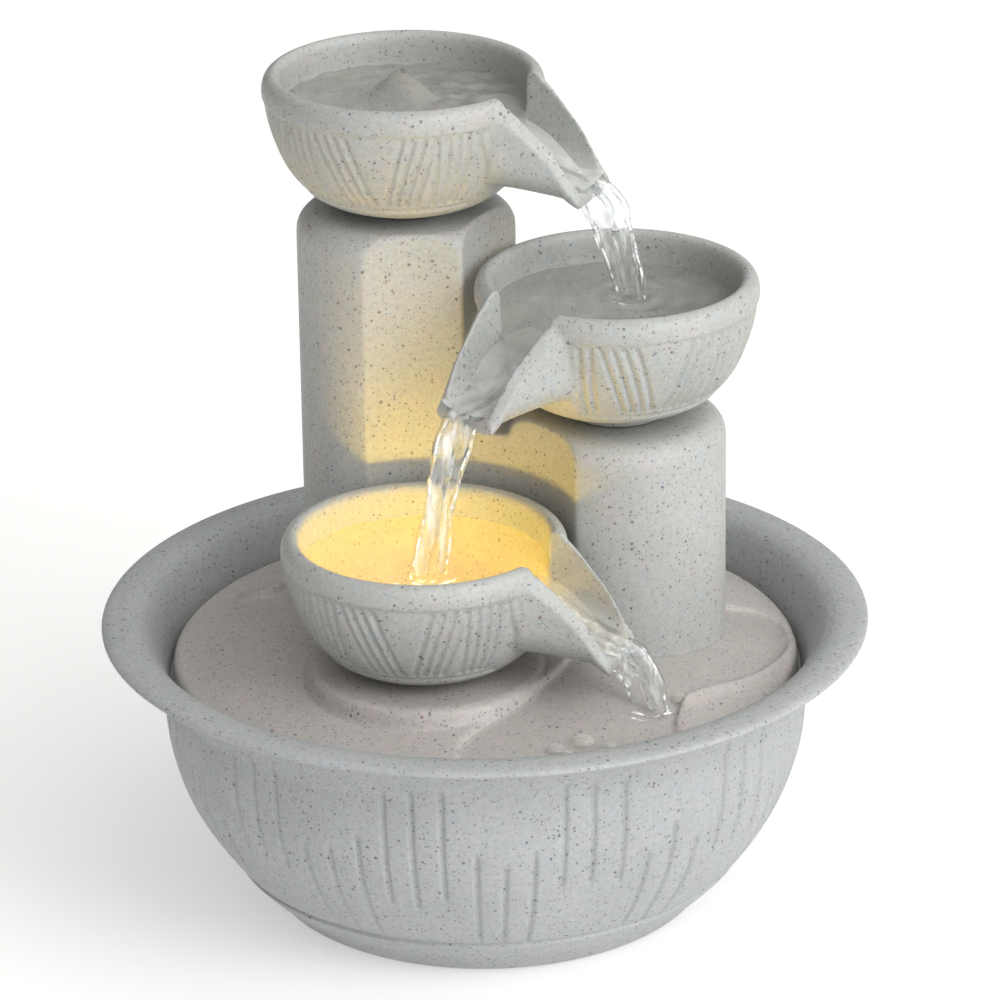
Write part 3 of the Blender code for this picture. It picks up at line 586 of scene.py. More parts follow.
def make_materials():
    """All finishes, by the record's slot or by the visual piece that uses them."""
    return {
        "basin": speckled("basin_speckled", (0.425, 0.44, 0.43), (0.38, 0.395, 0.39), 0.55),
        "deck": speckled("deck_speckled", (0.50, 0.475, 0.447), (0.44, 0.413, 0.387), 0.45),
        "column": speckled("column_speckled", (0.46, 0.465, 0.44), (0.415, 0.42, 0.40), 0.55),
        "bowl": speckled("bowl_speckled", (0.445, 0.453, 0.425), (0.40, 0.408, 0.383), 0.5),
        "black_plastic": plain("black_plastic_grained", (0.022, 0.022, 0.025), 0.42, grain=900.0),
        "black_rubber": plain("black_rubber_matte", (0.02, 0.02, 0.02), 0.75, grain=700.0, depth=0.2),
        "clear_hose": plain("clear_hose_milky", (0.72, 0.76, 0.75), 0.2, grain=250.0, depth=0.05,
                            tint=0.04),
        "ceramic_shaft": plain("ceramic_ground", (0.82, 0.82, 0.79), 0.3, grain=1500.0, depth=0.05),
        "rotor_ferrite": plain("ferrite_dull", (0.07, 0.07, 0.075), 0.55, grain=1200.0),
        "stator_steel": plain("steel_laminated", (0.42, 0.42, 0.43), 0.4, 1.0, grain=1800.0),
        "coil_copper": plain("copper_wound", (0.72, 0.33, 0.14), 0.35, 1.0, grain=1300.0, depth=0.3),
        "filter_sponge": plain("sponge_open", (0.03, 0.03, 0.032), 0.95, grain=650.0, depth=0.9,
                               tint=0.5),
        "screw_steel": plain("steel_plain", (0.58, 0.58, 0.59), 0.3, 1.0, grain=1400.0),
        "board_white": plain("board_mask", (0.76, 0.76, 0.73), 0.5),
        "lens_amber": lit("lens_amber_lit", (1.0, 0.80, 0.35), (1.0, 0.70, 0.22), 3.0),
        "led_chip": lit("led_phosphor", (1.0, 0.85, 0.4), (1.0, 0.75, 0.25), 3.0),
        "bowl_water": water_film("bowl_water", (0.40, 0.39, 0.355), 0.45),
        # painted lamp light: the yellow tint and faint glow of the lower bowl's water stand in for the
        # lamp shining up through it
        "lit_water": water_film("lit_water", (0.78, 0.54, 0.20), 0.32, glow=(1.0, 0.62, 0.16),
                                glow_strength=0.05),
        "deck_water": water_film("deck_water", (0.50, 0.49, 0.46), 0.22),
        "basin_water": water_film("basin_water", (0.42, 0.45, 0.45), 0.3),
        "stream": clear_water("stream_clear"),
        "stream_sheet": stream_sheet("stream_sheet"),
        "glint": glint("water_glint"),
        # painted lamp light: the warmer tint of the lower spout's water stands in for the lamp's light
        # carried into it
        "spout_water": water_film("spout_water", (0.66, 0.64, 0.56), 0.30),
        "pale_water": water_film("pale_water", (0.66, 0.67, 0.64), 0.52),
        "bubble": water_film("bubble_film", (0.68, 0.67, 0.63), 0.30, roughness=0.02),
    }


# ---------------------------------------------------------------- basin

def basin_outer_radius(height):
    """The basin wall's outside radius, from a bulging curve between foot and throat."""
    share = np.clip((np.asarray(height, float) - WALL_START) / (THROAT_Z - WALL_START), 0.0, 1.0)
    return WALL_R + (THROAT_R - WALL_R) * (1.0 - (1.0 - share) ** 2.35)


def basin_profile():
    """Outside up from the foot ring, over the flared lip, and down the inside to the middle."""
    foot = [(49.0, 3.0), (50.6, 2.6), (52.0, 0.6), (53.4, 0.4), (56.4, 0.4), (57.4, 1.1), (60.4, 5.4),
            (61.3, 6.1), (62.3, 6.4)]
    body_z = np.concatenate([np.arange(6.9, 14.4, 0.3), np.arange(14.4, 61.0, 0.75)])
    body = np.column_stack([basin_outer_radius(body_z), body_z])
    lip_under = smooth_line([(84.5, 61.6), (85.1, 64.0), (86.5, 67.6), (89.0, 71.0), (92.6, 73.4),
                             (97.0, 74.5)], 6)
    edge = smooth_line([(99.1, 74.7), (RIM_R, 75.5), (99.5, 76.4), (97.8, 77.0), (94.8, RIM_TOP)], 5)
    lip_over = smooth_line([(91.8, 76.9), (89.1, 75.4), (86.8, 72.5), (84.9, 68.3), (83.5, 64.0),
                            (82.7, LEDGE_Z + 0.4), (82.4, LEDGE_Z), (80.4, LEDGE_Z), (80.0, 60.0)], 5)
    inner_z = np.arange(56.0, 9.0, -3.0)
    inner = np.column_stack([np.minimum(basin_outer_radius(inner_z) - BASIN_WALL, 80.0), inner_z])
    floor = smooth_line([(60.4, 9.0), (57.6, 6.9), (54.0, BASIN_FLOOR), (30.0, BASIN_FLOOR),
                         (8.0, BASIN_FLOOR), (0.0, BASIN_FLOOR)], 3)
    return np.vstack([foot, body, lip_under, edge, lip_over, inner, floor])


def groove_lines():
    """The carved upright lines: azimuth, top and bottom of each, in staggered groups of three."""
    front = FRONT_SPACING * (FRONT_GROUPS - 1)
    rest = (360.0 - front) / (GROOVE_GROUPS - FRONT_GROUPS + 1)
    lines = []
    for group in range(GROOVE_GROUPS):
        past_front = max(group - FRONT_GROUPS + 1, 0)
        middle = GROOVE_FIRST + FRONT_SPACING * (group - past_front) + rest * past_front
        for step in (-1, 0, 1):
            azimuth = middle + GROOVE_PITCH * step + RNG.uniform(-0.5, 0.5)
            if group % 2 == 0:
                top = GROOVE_TOP - RNG.uniform(0.0, 2.5)
                bottom = LONG_GROOVE_END + RNG.uniform(-4.0, 4.5)
            else:
                top = SHORT_GROOVE_START + RNG.uniform(-4.5, 4.5)
                bottom = GROOVE_BOTTOM + RNG.uniform(0.0, 1.2)
            lines.append((azimuth, top, bottom))
    return lines


def basin_angles(lines):
    """Azimuths of the mesh's columns: close together across each carved line."""
    spread = np.degrees(np.array([-1.5, -0.95, -0.6, -0.3, 0.0, 0.3, 0.6, 0.95, 1.5]) / GROOVE_R)
    angles = [azimuth + offset for azimuth, _, _ in lines for offset in spread]
    angles += [azimuth + GROOVE_PITCH * part for azimuth, _, _ in lines for part in (0.4, 0.6)]
    return np.radians(np.sort(np.mod(angles, 360.0)))


def make_basin(mats):
    """The basin with its carved lines and the ring line under them."""
    profile = basin_profile()
    lines = groove_lines()
    angles = basin_angles(lines)
    points = turned_points(profile, angles)
    z = points[:, :, 2]
    up_to_rim = np.arange(len(profile)) < np.argmax(profile[:, 0])
    outside = up_to_rim & (profile[:, 1] > 6.6) & (profile[:, 1] < 68.0)
    cut = np.zeros(z.shape)
    for azimuth, top, bottom in lines:
        across = np.angle(np.exp(1j * (angles - math.radians(azimuth))))[None, :] * GROOVE_R
        ends = plateau(z, bottom - 0.6, bottom + 0.9, top - 0.9, top + 0.6)
        cut = np.maximum(cut, dip(across, GROOVE_HALF_WIDTH, 1.5) * ends)
    ring = 0.7 * np.exp(-((z - RING_Z - 0.5) / 0.5) ** 2)
    ledge = 0.9 * (1.0 - smooth_step(z, RING_Z - 0.6, RING_Z + 0.1))
    cut = (np.maximum(cut, ring) - ledge) * outside[:, None]
    wave = 0.18 * ripple_noise(np.degrees(angles)[None, :] * 1.2, z, 30.0, 3) * outside[:, None]
    radius = np.hypot(points[:, :, 0], points[:, :, 1])
    shrink = (radius - GROOVE_DEPTH * cut + wave) / np.maximum(radius, 1e-6)
    points[:, :, 0] *= shrink
    points[:, :, 1] *= shrink
    cols = len(angles)
    flat = points.reshape(-1, 3)[:-(cols - 1)]
    rings = len(profile) - 1
    faces = [tuple(f) for f in grid_faces(rings, cols)] + fan((rings - 1) * cols, cols, rings * cols)
    faces += fan(0, cols, len(flat), inwards=True)
    flat = np.vstack([flat, [[0.0, 0.0, 3.0]]])
    make_piece("basin_carved", flat, faces, mats["basin"], "base", ["basin"], "basin_plastic")


def make_outlet(mats):
    """The boss in the basin's back that the pump's lead leaves by, and the grommet in it."""
    boss = smooth_line([(2.7, 12.9), (7.0, 12.9), (7.9, 12.5), (8.0, 11.8), (8.0, 4.0), (8.0, 0.0)], 3)
    lay_back("lead_outlet_boss", np.vstack([boss, [(2.7, 0.0)]]), BOSS_START, mats["basin"], (),
             "basin_plastic")
    sleeve = smooth_line([(4.0, 0.0), (6.3, 0.1), (6.4, 1.0), (5.7, 2.0), (4.6, 3.2), (4.1, 4.6),
                          (3.7, 5.5)], 3)
    lay_back("lead_grommet", np.vstack([sleeve, [(2.6, 5.6), (2.5, 0.0)]]), GROMMET_START,
             mats["black_rubber"], ["cable_grommet"], "black_rubber")


def lay_back(name, profile, start, mat, replaced, slot):
    """A turned piece whose axis runs out through the basin's back; heights are depths from start."""
    cols = 48
    points = turned_points(profile, round_angles(cols)).reshape(-1, 3)
    placed = np.column_stack([points[:, 0], points[:, 2] + start, points[:, 1] + OUTLET_Z])
    make_piece(name, placed, grid_faces(len(profile), cols, closed=True), mat, "base", replaced, slot)


def make_feet(mats):
    """Four soft pads with a ring tread."""
    profile = smooth_line([(0.0, 2.6), (4.6, 2.6), (5.6, 2.4), (6.0, 1.6), (5.9, 0.6), (5.3, 0.05),
                           (3.6, 0.0), (3.1, 0.5), (2.6, 0.5), (2.1, 0.0), (0.0, 0.0)], 3)
    for i in range(4):
        angle = math.radians(45.0 + 90.0 * i)
        pad = turned_solid(profile, 40, (FEET_R * math.cos(angle), FEET_R * math.sin(angle)))
        mesh = in_metres(evaluated(pad))
        bpy.data.objects.remove(pad)
        dress(mesh, f"foot_pad_soft_{i + 1}", mats["black_rubber"], "base", [f"foot_pad_{i + 1}"])


# ---------------------------------------------------------------- deck

# The pool's outline, and the raised lip along its back and right
POOL_OUTLINE = [(18.0, -36.0), (15.0, -43.0), (8.5, -50.0), (3.0, -56.0), (-5.5, -65.0), (-6.5, -72.0),
                (-6.0, -84.0), (20.0, -92.0), (52.0, -76.0), (50.0, -62.0), (48.0, -54.0), (50.5, -43.0),
                (56.5, -37.0), (67.0, -28.0), (76.0, -15.0), (79.6, -2.0), (78.5, 8.0), (72.0, 15.0),
                (60.0, 14.0), (35.0, 0.0)]
LIP_LINE = [(50.8, -43.5), (56.5, -38.5), (67.5, -29.8), (75.6, -18.0), (79.0, -5.0), (79.4, 3.0)]


def distance_to_line(x, y, line, closed=False):
    """The distance from each point to a polyline."""
    best = np.full(x.shape, 1e9)
    ends = np.roll(line, -1, axis=0) if closed else line[1:]
    starts = line if closed else line[:-1]
    for a, b in zip(starts, ends):
        along = b - a
        t = np.clip(((x - a[0]) * along[0] + (y - a[1]) * along[1]) / (along @ along), 0.0, 1.0)
        best = np.minimum(best, np.hypot(x - a[0] - t * along[0], y - a[1] - t * along[1]))
    return best


def inside_loop(x, y, loop):
    """Which points lie inside a closed outline."""
    inside = np.zeros(x.shape, bool)
    for a, b in zip(loop, np.roll(loop, -1, axis=0)):
        crosses = (a[1] > y) != (b[1] > y)
        with np.errstate(divide="ignore", invalid="ignore"):
            at = (b[0] - a[0]) * (y - a[1]) / (b[1] - a[1]) + a[0]
        inside ^= crosses & (x < at)
    return inside


def pool_depth_field(x, y):
    """Signed distance into the pool: positive inside it."""
    corners = np.asarray(POOL_OUTLINE + POOL_OUTLINE[:3])
    loop = smooth_line(corners, 4)[8:-8]
    distance = distance_to_line(x, y, loop, closed=True)
    return np.where(inside_loop(x, y, loop), distance, -distance)


def dome_height(radius):
    """The deck's plain domed top."""
    share = np.clip((radius - DECK_FLAT_R) / (DECK_R - DECK_FLAT_R), 0.0, 1.0)
    return DECK_TOP - DECK_DROP * share ** 1.25


def deck_height(x, y):
    """The deck's top with its pad, pool, raised lip and round button."""
    radius = np.hypot(x, y)
    height = dome_height(radius) + 0.12 * ripple_noise(x, y, 45.0, 11)
    into_pool = pool_depth_field(x, y)
    height = height - POOL_DEPTH * smooth_step(into_pool, -0.7, 0.9)
    lip = distance_to_line(x, y, smooth_line(LIP_LINE, 5))
    height = height + LIP_HEIGHT * np.exp(-(lip / LIP_HALF) ** 2)
    button = 1.0 - smooth_step(distance(x, y, BUTTON), BUTTON_R - 1.1, BUTTON_R + 1.1)
    height = height + BUTTON_HEIGHT * button
    from_pad = distance(x, y, LOW)
    pad = PAD_TOP - 0.6 * smooth_step(from_pad, PAD_R - 2.6, PAD_R - 0.4)
    share = 1.0 - smooth_step(from_pad, PAD_R - 0.7, PAD_R + 0.8)
    return height + (pad - height) * share


def make_deck(mats):
    """The deck as one skin: a fine polar grid on top, a rounded edge, a skirt and an underside."""
    cols = 600
    angles = round_angles(cols)
    radii = np.concatenate([np.arange(0.6, 36.0, 1.0), np.arange(36.0, 79.9, 0.55)])
    x, y = polar(radii, angles)
    top = np.stack([x, y, deck_height(x, y)], axis=-1)
    rows = [top]
    for turn in np.radians(np.linspace(15.0, 90.0, 6)):
        edge = polar(np.array([radii[-1] + DECK_ROUND * math.sin(turn)]), angles)
        rows.append(np.stack([*edge, top[-1:, :, 2] - DECK_ROUND * (1.0 - math.cos(turn))], axis=-1))
    skirt = [(DECK_R, 62.4), (DECK_R, 61.0), (80.4, 61.0), (80.0, 62.0)]
    under = np.array([77.0, 68.0, 58.0, 46.0, 30.0, 12.0])
    below = np.column_stack([under, dome_height(under) - DECK_UNDER])
    rows.append(turned_points(np.vstack([skirt, below]), angles))
    points = np.concatenate(rows)
    count = len(points)
    middle = float(deck_height(np.zeros(1), np.zeros(1))[0])
    flat = np.vstack([points.reshape(-1, 3), [[0.0, 0.0, middle], [0.0, 0.0, DECK_TOP - DECK_UNDER]]])
    quads = grid_faces(count, cols)
    centres = points.reshape(-1, 3)[quads].mean(axis=1)
    solid = distance(centres[:, 0], centres[:, 1], LOW) > LAMP_HOLE_R + 0.8
    faces = [tuple(f) for f in quads[solid]]
    faces += fan(0, cols, count * cols, inwards=True) + fan((count - 1) * cols, cols, count * cols + 1)
    make_piece("deck_moulded", flat, faces, mats["deck"], "deck", ["deck_plate"], "deck_plastic")


def make_lamp_hole(mats):
    """The rolled edge of the hole in the deck's pad."""
    rim = [(LAMP_HOLE_R, 70.4), (LAMP_HOLE_R + 1.6, 70.4), (LAMP_HOLE_R + 1.6, PAD_TOP + 0.1),
           (LAMP_HOLE_R + 0.4, PAD_TOP + 0.15), (LAMP_HOLE_R, PAD_TOP - 0.2)]
    cols = 72
    ring = turned_points(np.asarray(rim), round_angles(cols), LOW).reshape(-1, 3)
    make_piece("lamp_hole_rim", ring, grid_faces(len(rim), cols, closed=True), mats["deck"], "deck", (),
               "deck_plastic")


# ---------------------------------------------------------------- columns

def column_profile(radius, bottom, top, rounding):
    """An upright cylinder with a rounded top edge."""
    turns = np.radians(np.linspace(0.0, 90.0, 8))
    arc = rounding * np.column_stack([np.cos(turns), np.sin(turns)]) + (radius - rounding, top - rounding)
    return np.vstack([[(0.0, bottom), (radius, bottom)], arc, [(0.0, top)]])


def bore(obj, radius, bottom, at, segments):
    """Cuts an upright round hole from bottom to above everything."""
    sides = [(0.0, bottom), (radius, bottom), (radius, OVER_ALL), (0.0, OVER_ALL)]
    combine(obj, turned_solid(sides, segments, at), "DIFFERENCE")


def make_columns(mats):
    """Both columns and the wall between them, with the hollows round the bowls beside them."""
    block = turned_solid(column_profile(TALL_R, COLUMN_BASE, TALL_TOP, COLUMN_ROUND), 200, TALL)
    short = turned_solid(column_profile(SHORT_R, COLUMN_BASE, SHORT_TOP, COLUMN_ROUND), 192, SHORT)
    combine(block, short, "UNION")
    along = Vector((SHORT[0] - TALL[0], SHORT[1] - TALL[1])).normalized()
    across = Vector((-along.y, along.x)) * WEB_HALF
    start = Vector(TALL) + along * WEB_REACH
    end = Vector(SHORT) - along * WEB_REACH
    outline = [start - across, end - across, end + across, start + across]
    loops = [np.array([(p.x, p.y, z) for p in outline]) for z in (COLUMN_BASE, WEB_TOP)]
    combine(block, lofted_solid(loops), "UNION")
    bore(block, SCOOP_R, 40.0, LOW, 240)
    bore(block, SCOOP_R, SHORT_TOP + 2.0, SHORT, 240)
    bore(block, SPIGOT_HOLE_R, TALL_TOP - SOCKET_DEPTH, TALL, 64)
    bore(block, SPIGOT_HOLE_R, SHORT_TOP - SOCKET_DEPTH, SHORT, 64)
    mesh = in_metres(moulded(block, voxel=0.75, rounds=3))
    dress(mesh, "column_moulded", mats["column"], "deck", ["column_shell"])


# ---------------------------------------------------------------- bowls

def bowl_profile(foot, plugs_in):
    """Outside from the foot up, over the rolled rim, and down the inside to the middle."""
    rim = smooth_line([(15.0, BOWL_BASE), (18.5, -33.9), (22.6, -32.3), (26.2, -29.9), (29.4, -26.6),
                       (32.2, -22.0), (34.9, -14.8), (36.1, -9.4), (BOWL_R, -5.0), (36.5, -3.0),
                       (35.8, -1.2), (34.6, -0.2), (33.4, 0.0), (32.4, -0.6), (31.9, -1.8), (31.7, -4.0),
                       (31.6, -9.0), (30.2, -15.6), (27.2, -21.5), (21.6, -26.7), (13.0, -29.6),
                       (5.4, -30.5)], 4)
    end = foot - SPIGOT_LENGTH
    spigot = [(0.0, BOWL_BASE + 0.5), (8.0, BOWL_BASE + 0.5), (8.0, end), (SPIGOT_R, end),
              (SPIGOT_R, foot)]
    start = spigot if plugs_in else [(0.0, foot)]
    return np.vstack([start, [(BOWL_FOOT_R, foot), (BOWL_FOOT_R, BOWL_BASE)], rim, [(0.0, -30.6)]])


# The spout's sections: reach, half width, floor and top, measured from the rim
SPOUT_OUTER = [(22.0, 19.0, -25.0, -0.5), (26.0, 18.0, -25.0, -0.6), (29.5, 16.9, -25.0, -0.8),
               (32.5, 15.8, -25.0, -1.3), (35.0, 14.9, -25.2, -2.6), (38.0, 13.9, -25.5, -4.9),
               (42.0, 12.8, -26.0, -8.7), (46.0, 11.9, -26.5, -12.8), (49.0, 11.3, -27.0, -17.2),
               (51.5, 10.8, -27.6, -21.8), (SPOUT_REACH, 10.4, -28.1, -25.0)]
# The hollow's sections; it is open above the rim
SPOUT_CHANNEL = [(14.0, 11.6, -19.6, 8.0), (26.0, 11.6, -21.4, 8.0), (32.0, 11.5, -22.2, 8.0),
                 (38.0, 10.9, -22.9, 8.0), (42.0, 10.2, -23.4, 8.0), (46.0, 9.5, -24.0, 8.0),
                 (50.0, 8.8, -24.7, 8.0), (58.0, 8.0, -26.0, 8.0)]


def spout_loops(stations, roundness, bevel=0.0):
    """Closed sections across the spout, from (reach, half width, floor, top) stations."""
    loops = []
    for reach, half, floor, top in smooth_line(stations, 4):
        drop = min(bevel, (top - floor) * 0.4)
        corner = min(half * roundness, (top - floor) * 0.8, top - drop - floor - 0.1)
        turns = np.radians(np.linspace(0.0, 90.0, 7))
        right = [(half - drop * 0.7, top), (half, top - drop)] if bevel else [(half, top)]
        right += [(half - corner + corner * math.cos(turn), floor + corner - corner * math.sin(turn))
                  for turn in turns]
        section = right + [(-w, z) for w, z in reversed(right)]
        loops.append(np.array([(reach, w, z) for w, z in section]))
    return loops


def carve_bowl(points, normals):
    """The outside's carved band: groups of lines that stand upright, lean, and lean back."""
    radius = np.hypot(points[:, 0], points[:, 1])
    azimuth = np.degrees(np.arctan2(points[:, 1], points[:, 0]))
    z = points[:, 2]
    outward = (normals[:, 0] * points[:, 0] + normals[:, 1] * points[:, 1]) / np.maximum(radius, 1e-6)
    facing = smooth_step(outward, 0.15, 0.35) * smooth_step(np.abs(azimuth), 25.5, 29.5) * (radius < 37.5)
    band = BAND_DEPTH * plateau(z, BAND_BOTTOM - 0.3, BAND_BOTTOM + 0.3, BAND_TOP - 0.6, BAND_TOP + 0.1)
    inner = plateau(z, BAND_BOTTOM + 0.9, BAND_BOTTOM + 1.8, BAND_TOP - 1.8, BAND_TOP - 0.9)
    cut = band
    down = np.clip((BAND_TOP - z) / (BAND_TOP - BAND_BOTTOM), 0.0, 1.0)
    for start in BAND_FIRST + np.arange(0.0, 360.0, BAND_PERIOD):
        for offset, lean, pitch in BAND_GROUPS:
            for i in range(BAND_LINES):
                line = start + offset + pitch * i + lean * down
                away = np.abs((azimuth - line + 180.0) % 360.0 - 180.0)
                across = np.radians(away) * radius
                cut = np.maximum(cut, band + BAND_LINE_DEPTH * dip(across, 1.0, 1.1) * inner)
    ring = 0.75 * np.exp(-((z - BAND_BOTTOM) / 0.55) ** 2)
    return points - normals * (np.maximum(cut, ring) * facing)[:, None]


def bowl_mesh(foot, plugs_in):
    """One bowl in its own axes: rim at height 0, spout along +X."""
    bowl = turned_solid(bowl_profile(foot, plugs_in), 200)
    spout = lofted_solid(spout_loops(SPOUT_OUTER, 0.62, bevel=3.4))
    middle_of_wall = [(0.0, -32.0), (17.0, -30.2), (24.0, -26.9), (29.3, -21.9), (32.9, -13.5),
                      (34.2, -5.0), (34.2, 10.0), (0.0, 10.0)]
    combine(spout, turned_solid(middle_of_wall, 120), "DIFFERENCE")
    combine(bowl, spout, "UNION")
    combine(bowl, lofted_solid(spout_loops(SPOUT_CHANNEL, 0.7)), "DIFFERENCE")
    mesh = moulded(bowl, voxel=0.45, rounds=7)
    points, normals = mesh_points(mesh)
    set_points(mesh, carve_bowl(points, normals))
    return mesh


def placed_copy(mesh, spec):
    """A bowl's mesh turned to its spout's azimuth and set at its place, in metres."""
    copy = mesh.copy()
    turn = Matrix.Rotation(math.radians(spec["spout"]), 4, "Z")
    move = Matrix.Translation(Vector((spec["at"][0], spec["at"][1], spec["rim"])))
    copy.transform(Matrix.Scale(MM, 4) @ move @ turn)
    return copy


def make_bowls(mats):
    """The three bowls."""
    for name, spec in BOWLS.items():
        plugs_in = name != "lower_bowl"
        foot = round(lowest(name)[2] - spec["rim"] + (SPIGOT_LENGTH if plugs_in else 0.0), 3)
        shape = bowl_mesh(foot, plugs_in)
        dress(placed_copy(shape, spec), name.replace("_", "_carved_"), mats["bowl"], spec["body"],
              [name])
        bpy.data.meshes.remove(shape)


# ---------------------------------------------------------------- water

def rotated(x, y, degrees):
    """Places in plan, rotated about the origin."""
    turn = math.radians(degrees)
    return x * math.cos(turn) - y * math.sin(turn), x * math.sin(turn) + y * math.cos(turn)


def pool_surface(name, spec, mat, disturb):
    """The water in a bowl: a disc that slopes down into the spout, with ripples."""
    cols, rows = 160, 48
    angles = np.linspace(-math.pi, math.pi, cols, endpoint=False)
    x, y = polar(np.linspace(0.02, 1.0, rows) * POOL_R, angles)
    mouth = smooth_step(x, 18.0, 33.0) * (1.0 - smooth_step(np.abs(y), 9.0, 20.0))
    z = disturb(x, y) - POOL_DROP - MOUTH_DROP * mouth
    local_piece(name, spec, mat, x, y, z, True)


def local_piece(name, spec, mat, x, y, z, around):
    """A grid in a bowl's own axes, placed on its body."""
    points = np.stack([*rotated(x, y, spec["spout"]), z], axis=-1) + (*spec["at"], spec["rim"])
    faces = grid_faces(*x.shape, around=around)
    make_piece(name, points.reshape(-1, 3), faces, mat, spec["body"])


def spout_sheet(name, spec, mat):
    """The thin sheet that runs from a bowl's mouth down its spout to the tip."""
    rows, cols = 60, 28
    s = np.linspace(20.0, SPOUT_REACH - 0.3, rows)[:, None]
    channel = np.asarray(SPOUT_CHANNEL)
    half = np.interp(s, channel[:, 0], channel[:, 1]) - 0.15
    floor = np.interp(s, channel[:, 0], channel[:, 2])
    share = np.linspace(-1.0, 1.0, cols)[None, :]
    x = np.repeat(s, cols, axis=1)
    y = share * half
    fall = smooth_step(x, 26.0, 47.0)
    level = (-POOL_DROP - MOUTH_DROP) * (1.0 - fall) + (floor + 1.5) * fall
    curl = 0.9 * np.abs(share) ** 4 * fall
    z = np.maximum(level, floor + 0.6) + curl + 0.35 * ripple_noise(x * 0.5, y, 7.0, 23) * fall
    local_piece(name, spec, mat, x, y, z, False)


def mound(x, y):
    """Water welling up over the outlet, with rings round it."""
    d = np.hypot(x + 1.0, y)
    lump = 6.6 * np.exp(-(d / 6.0) ** 2) + 1.6 * np.exp(-(d / 12.0) ** 2)
    rough = ripple_noise(x, y, 9.0, 5) + 0.7 * ripple_noise(x, y, 4.0, 6) * np.exp(-(d / 9.0) ** 2)
    return lump + 0.5 * np.cos(d * 0.95) * np.exp(-d / 12.0) + 0.4 * rough


def splash_at(place, size):
    """Rings that spread from where a stream lands."""
    def disturb(x, y):
        d = distance(x, y, place)
        ring = size * np.cos(d * 1.05) * np.exp(-d / 8.0)
        return ring + 0.22 * ripple_noise(x, y, 10.0, 8)
    return disturb


def to_local(spec, x, y):
    """A frame position in a bowl's own axes."""
    return rotated(x - spec["at"][0], y - spec["at"][1], -spec["spout"])


def stream_path(spec, land):
    """The middle line of falling water, from inside the spout to where it lands."""
    turn = math.radians(spec["spout"])
    along = np.array([math.cos(turn), math.sin(turn)])
    local = [(33.0, -16.4), (39.0, -19.8), (45.0, -22.3), (50.5, -23.9), (53.8, -25.8)]
    points = [(*(np.array(spec["at"]) + reach * along), spec["rim"] + drop) for reach, drop in local]
    last = np.array(points[-1])
    land = np.asarray(land, float)
    for share in (0.22, 0.45, 0.72, 1.0):
        flat = last[:2] + (land[:2] - last[:2]) * share ** 0.8
        points.append((flat[0], flat[1], last[2] + (land[2] - last[2]) * share ** 1.15))
    line = smooth_line(points, 16)
    pick = np.linspace(0, len(line) - 1, STREAM_ROWS)
    return np.column_stack([np.interp(pick, np.arange(len(line)), line[:, k]) for k in range(3)])


def stream_frame(spec, land, widths, twist):
    """The path, the direction across it and its width at each row."""
    path = stream_path(spec, land)
    t = np.linspace(0.0, 1.0, STREAM_ROWS)
    angle = math.radians(spec["spout"] + 90.0) + math.radians(twist) * smooth_step(t, 0.3, 1.0)
    across = np.column_stack([np.cos(angle), np.sin(angle), np.zeros(STREAM_ROWS)])
    width = np.interp(t, np.linspace(0.0, 1.0, len(widths)), widths)
    return path, across, width, t


def stream_film(path, across, width, t, seed):
    """The thin folded sheet between the strands, as rows of points."""
    u = np.linspace(-1.0, 1.0, FILM_COLS)[None, :]
    outward = np.cross(across, np.array([0.0, 0.0, 1.0]))
    rng = np.random.default_rng(seed)
    fold = 0.55 * np.sin(u * 5.0 + t[:, None] * 9.0 + rng.uniform(0, 6)) * (1.0 - 0.5 * u ** 2)
    fold = fold + 0.25 * np.sin(u * 11.0 - t[:, None] * 17.0)
    return (path[:, None, :] + across[:, None, :] * (0.5 * width[:, None] * u)[:, :, None]
            + outward[:, None, :] * fold[:, :, None])


def strand(path, radius, cols=10):
    """An uneven thread of water along a path."""
    ahead = np.gradient(path, axis=0)
    ahead /= np.linalg.norm(ahead, axis=1)[:, None]
    side = np.cross(ahead, np.array([0.3, 0.9, 0.2]))
    side /= np.linalg.norm(side, axis=1)[:, None]
    other = np.cross(ahead, side)
    loop = round_angles(cols)
    points = (path[:, None, :] + side[:, None, :] * (radius[:, None] * np.cos(loop))[:, :, None]
              + other[:, None, :] * (radius[:, None] * np.sin(loop))[:, :, None])
    return points.reshape(-1, 3), capped_faces(len(path), cols)


def joined(parts):
    """Several meshes as one."""
    points, faces, count = [], [], 0
    for some_points, some_faces in parts:
        points.append(np.asarray(some_points))
        faces += [tuple(int(i) + count for i in face) for face in some_faces]
        count += len(some_points)
    return np.vstack(points), faces


def stream_spans(spec, lands_on, path):
    """The stretches of a stream, each with two bodies named for it."""
    reach = distance(path[:, 0], path[:, 1], spec["at"])
    tip = int(np.argmin(np.abs(reach - SPOUT_REACH)))
    last = len(path) - 1
    if lands_on == "deck":
        return [(0, last, tip, spec["body"], "deck")]
    level = path[-1, 2] + 0.62 * (path[tip, 2] - path[-1, 2])
    cut = int(np.argmin(np.abs(path[:, 2] - level)))
    return [(0, cut, tip, spec["body"], "deck"), (cut, last, cut, "deck", lands_on)]


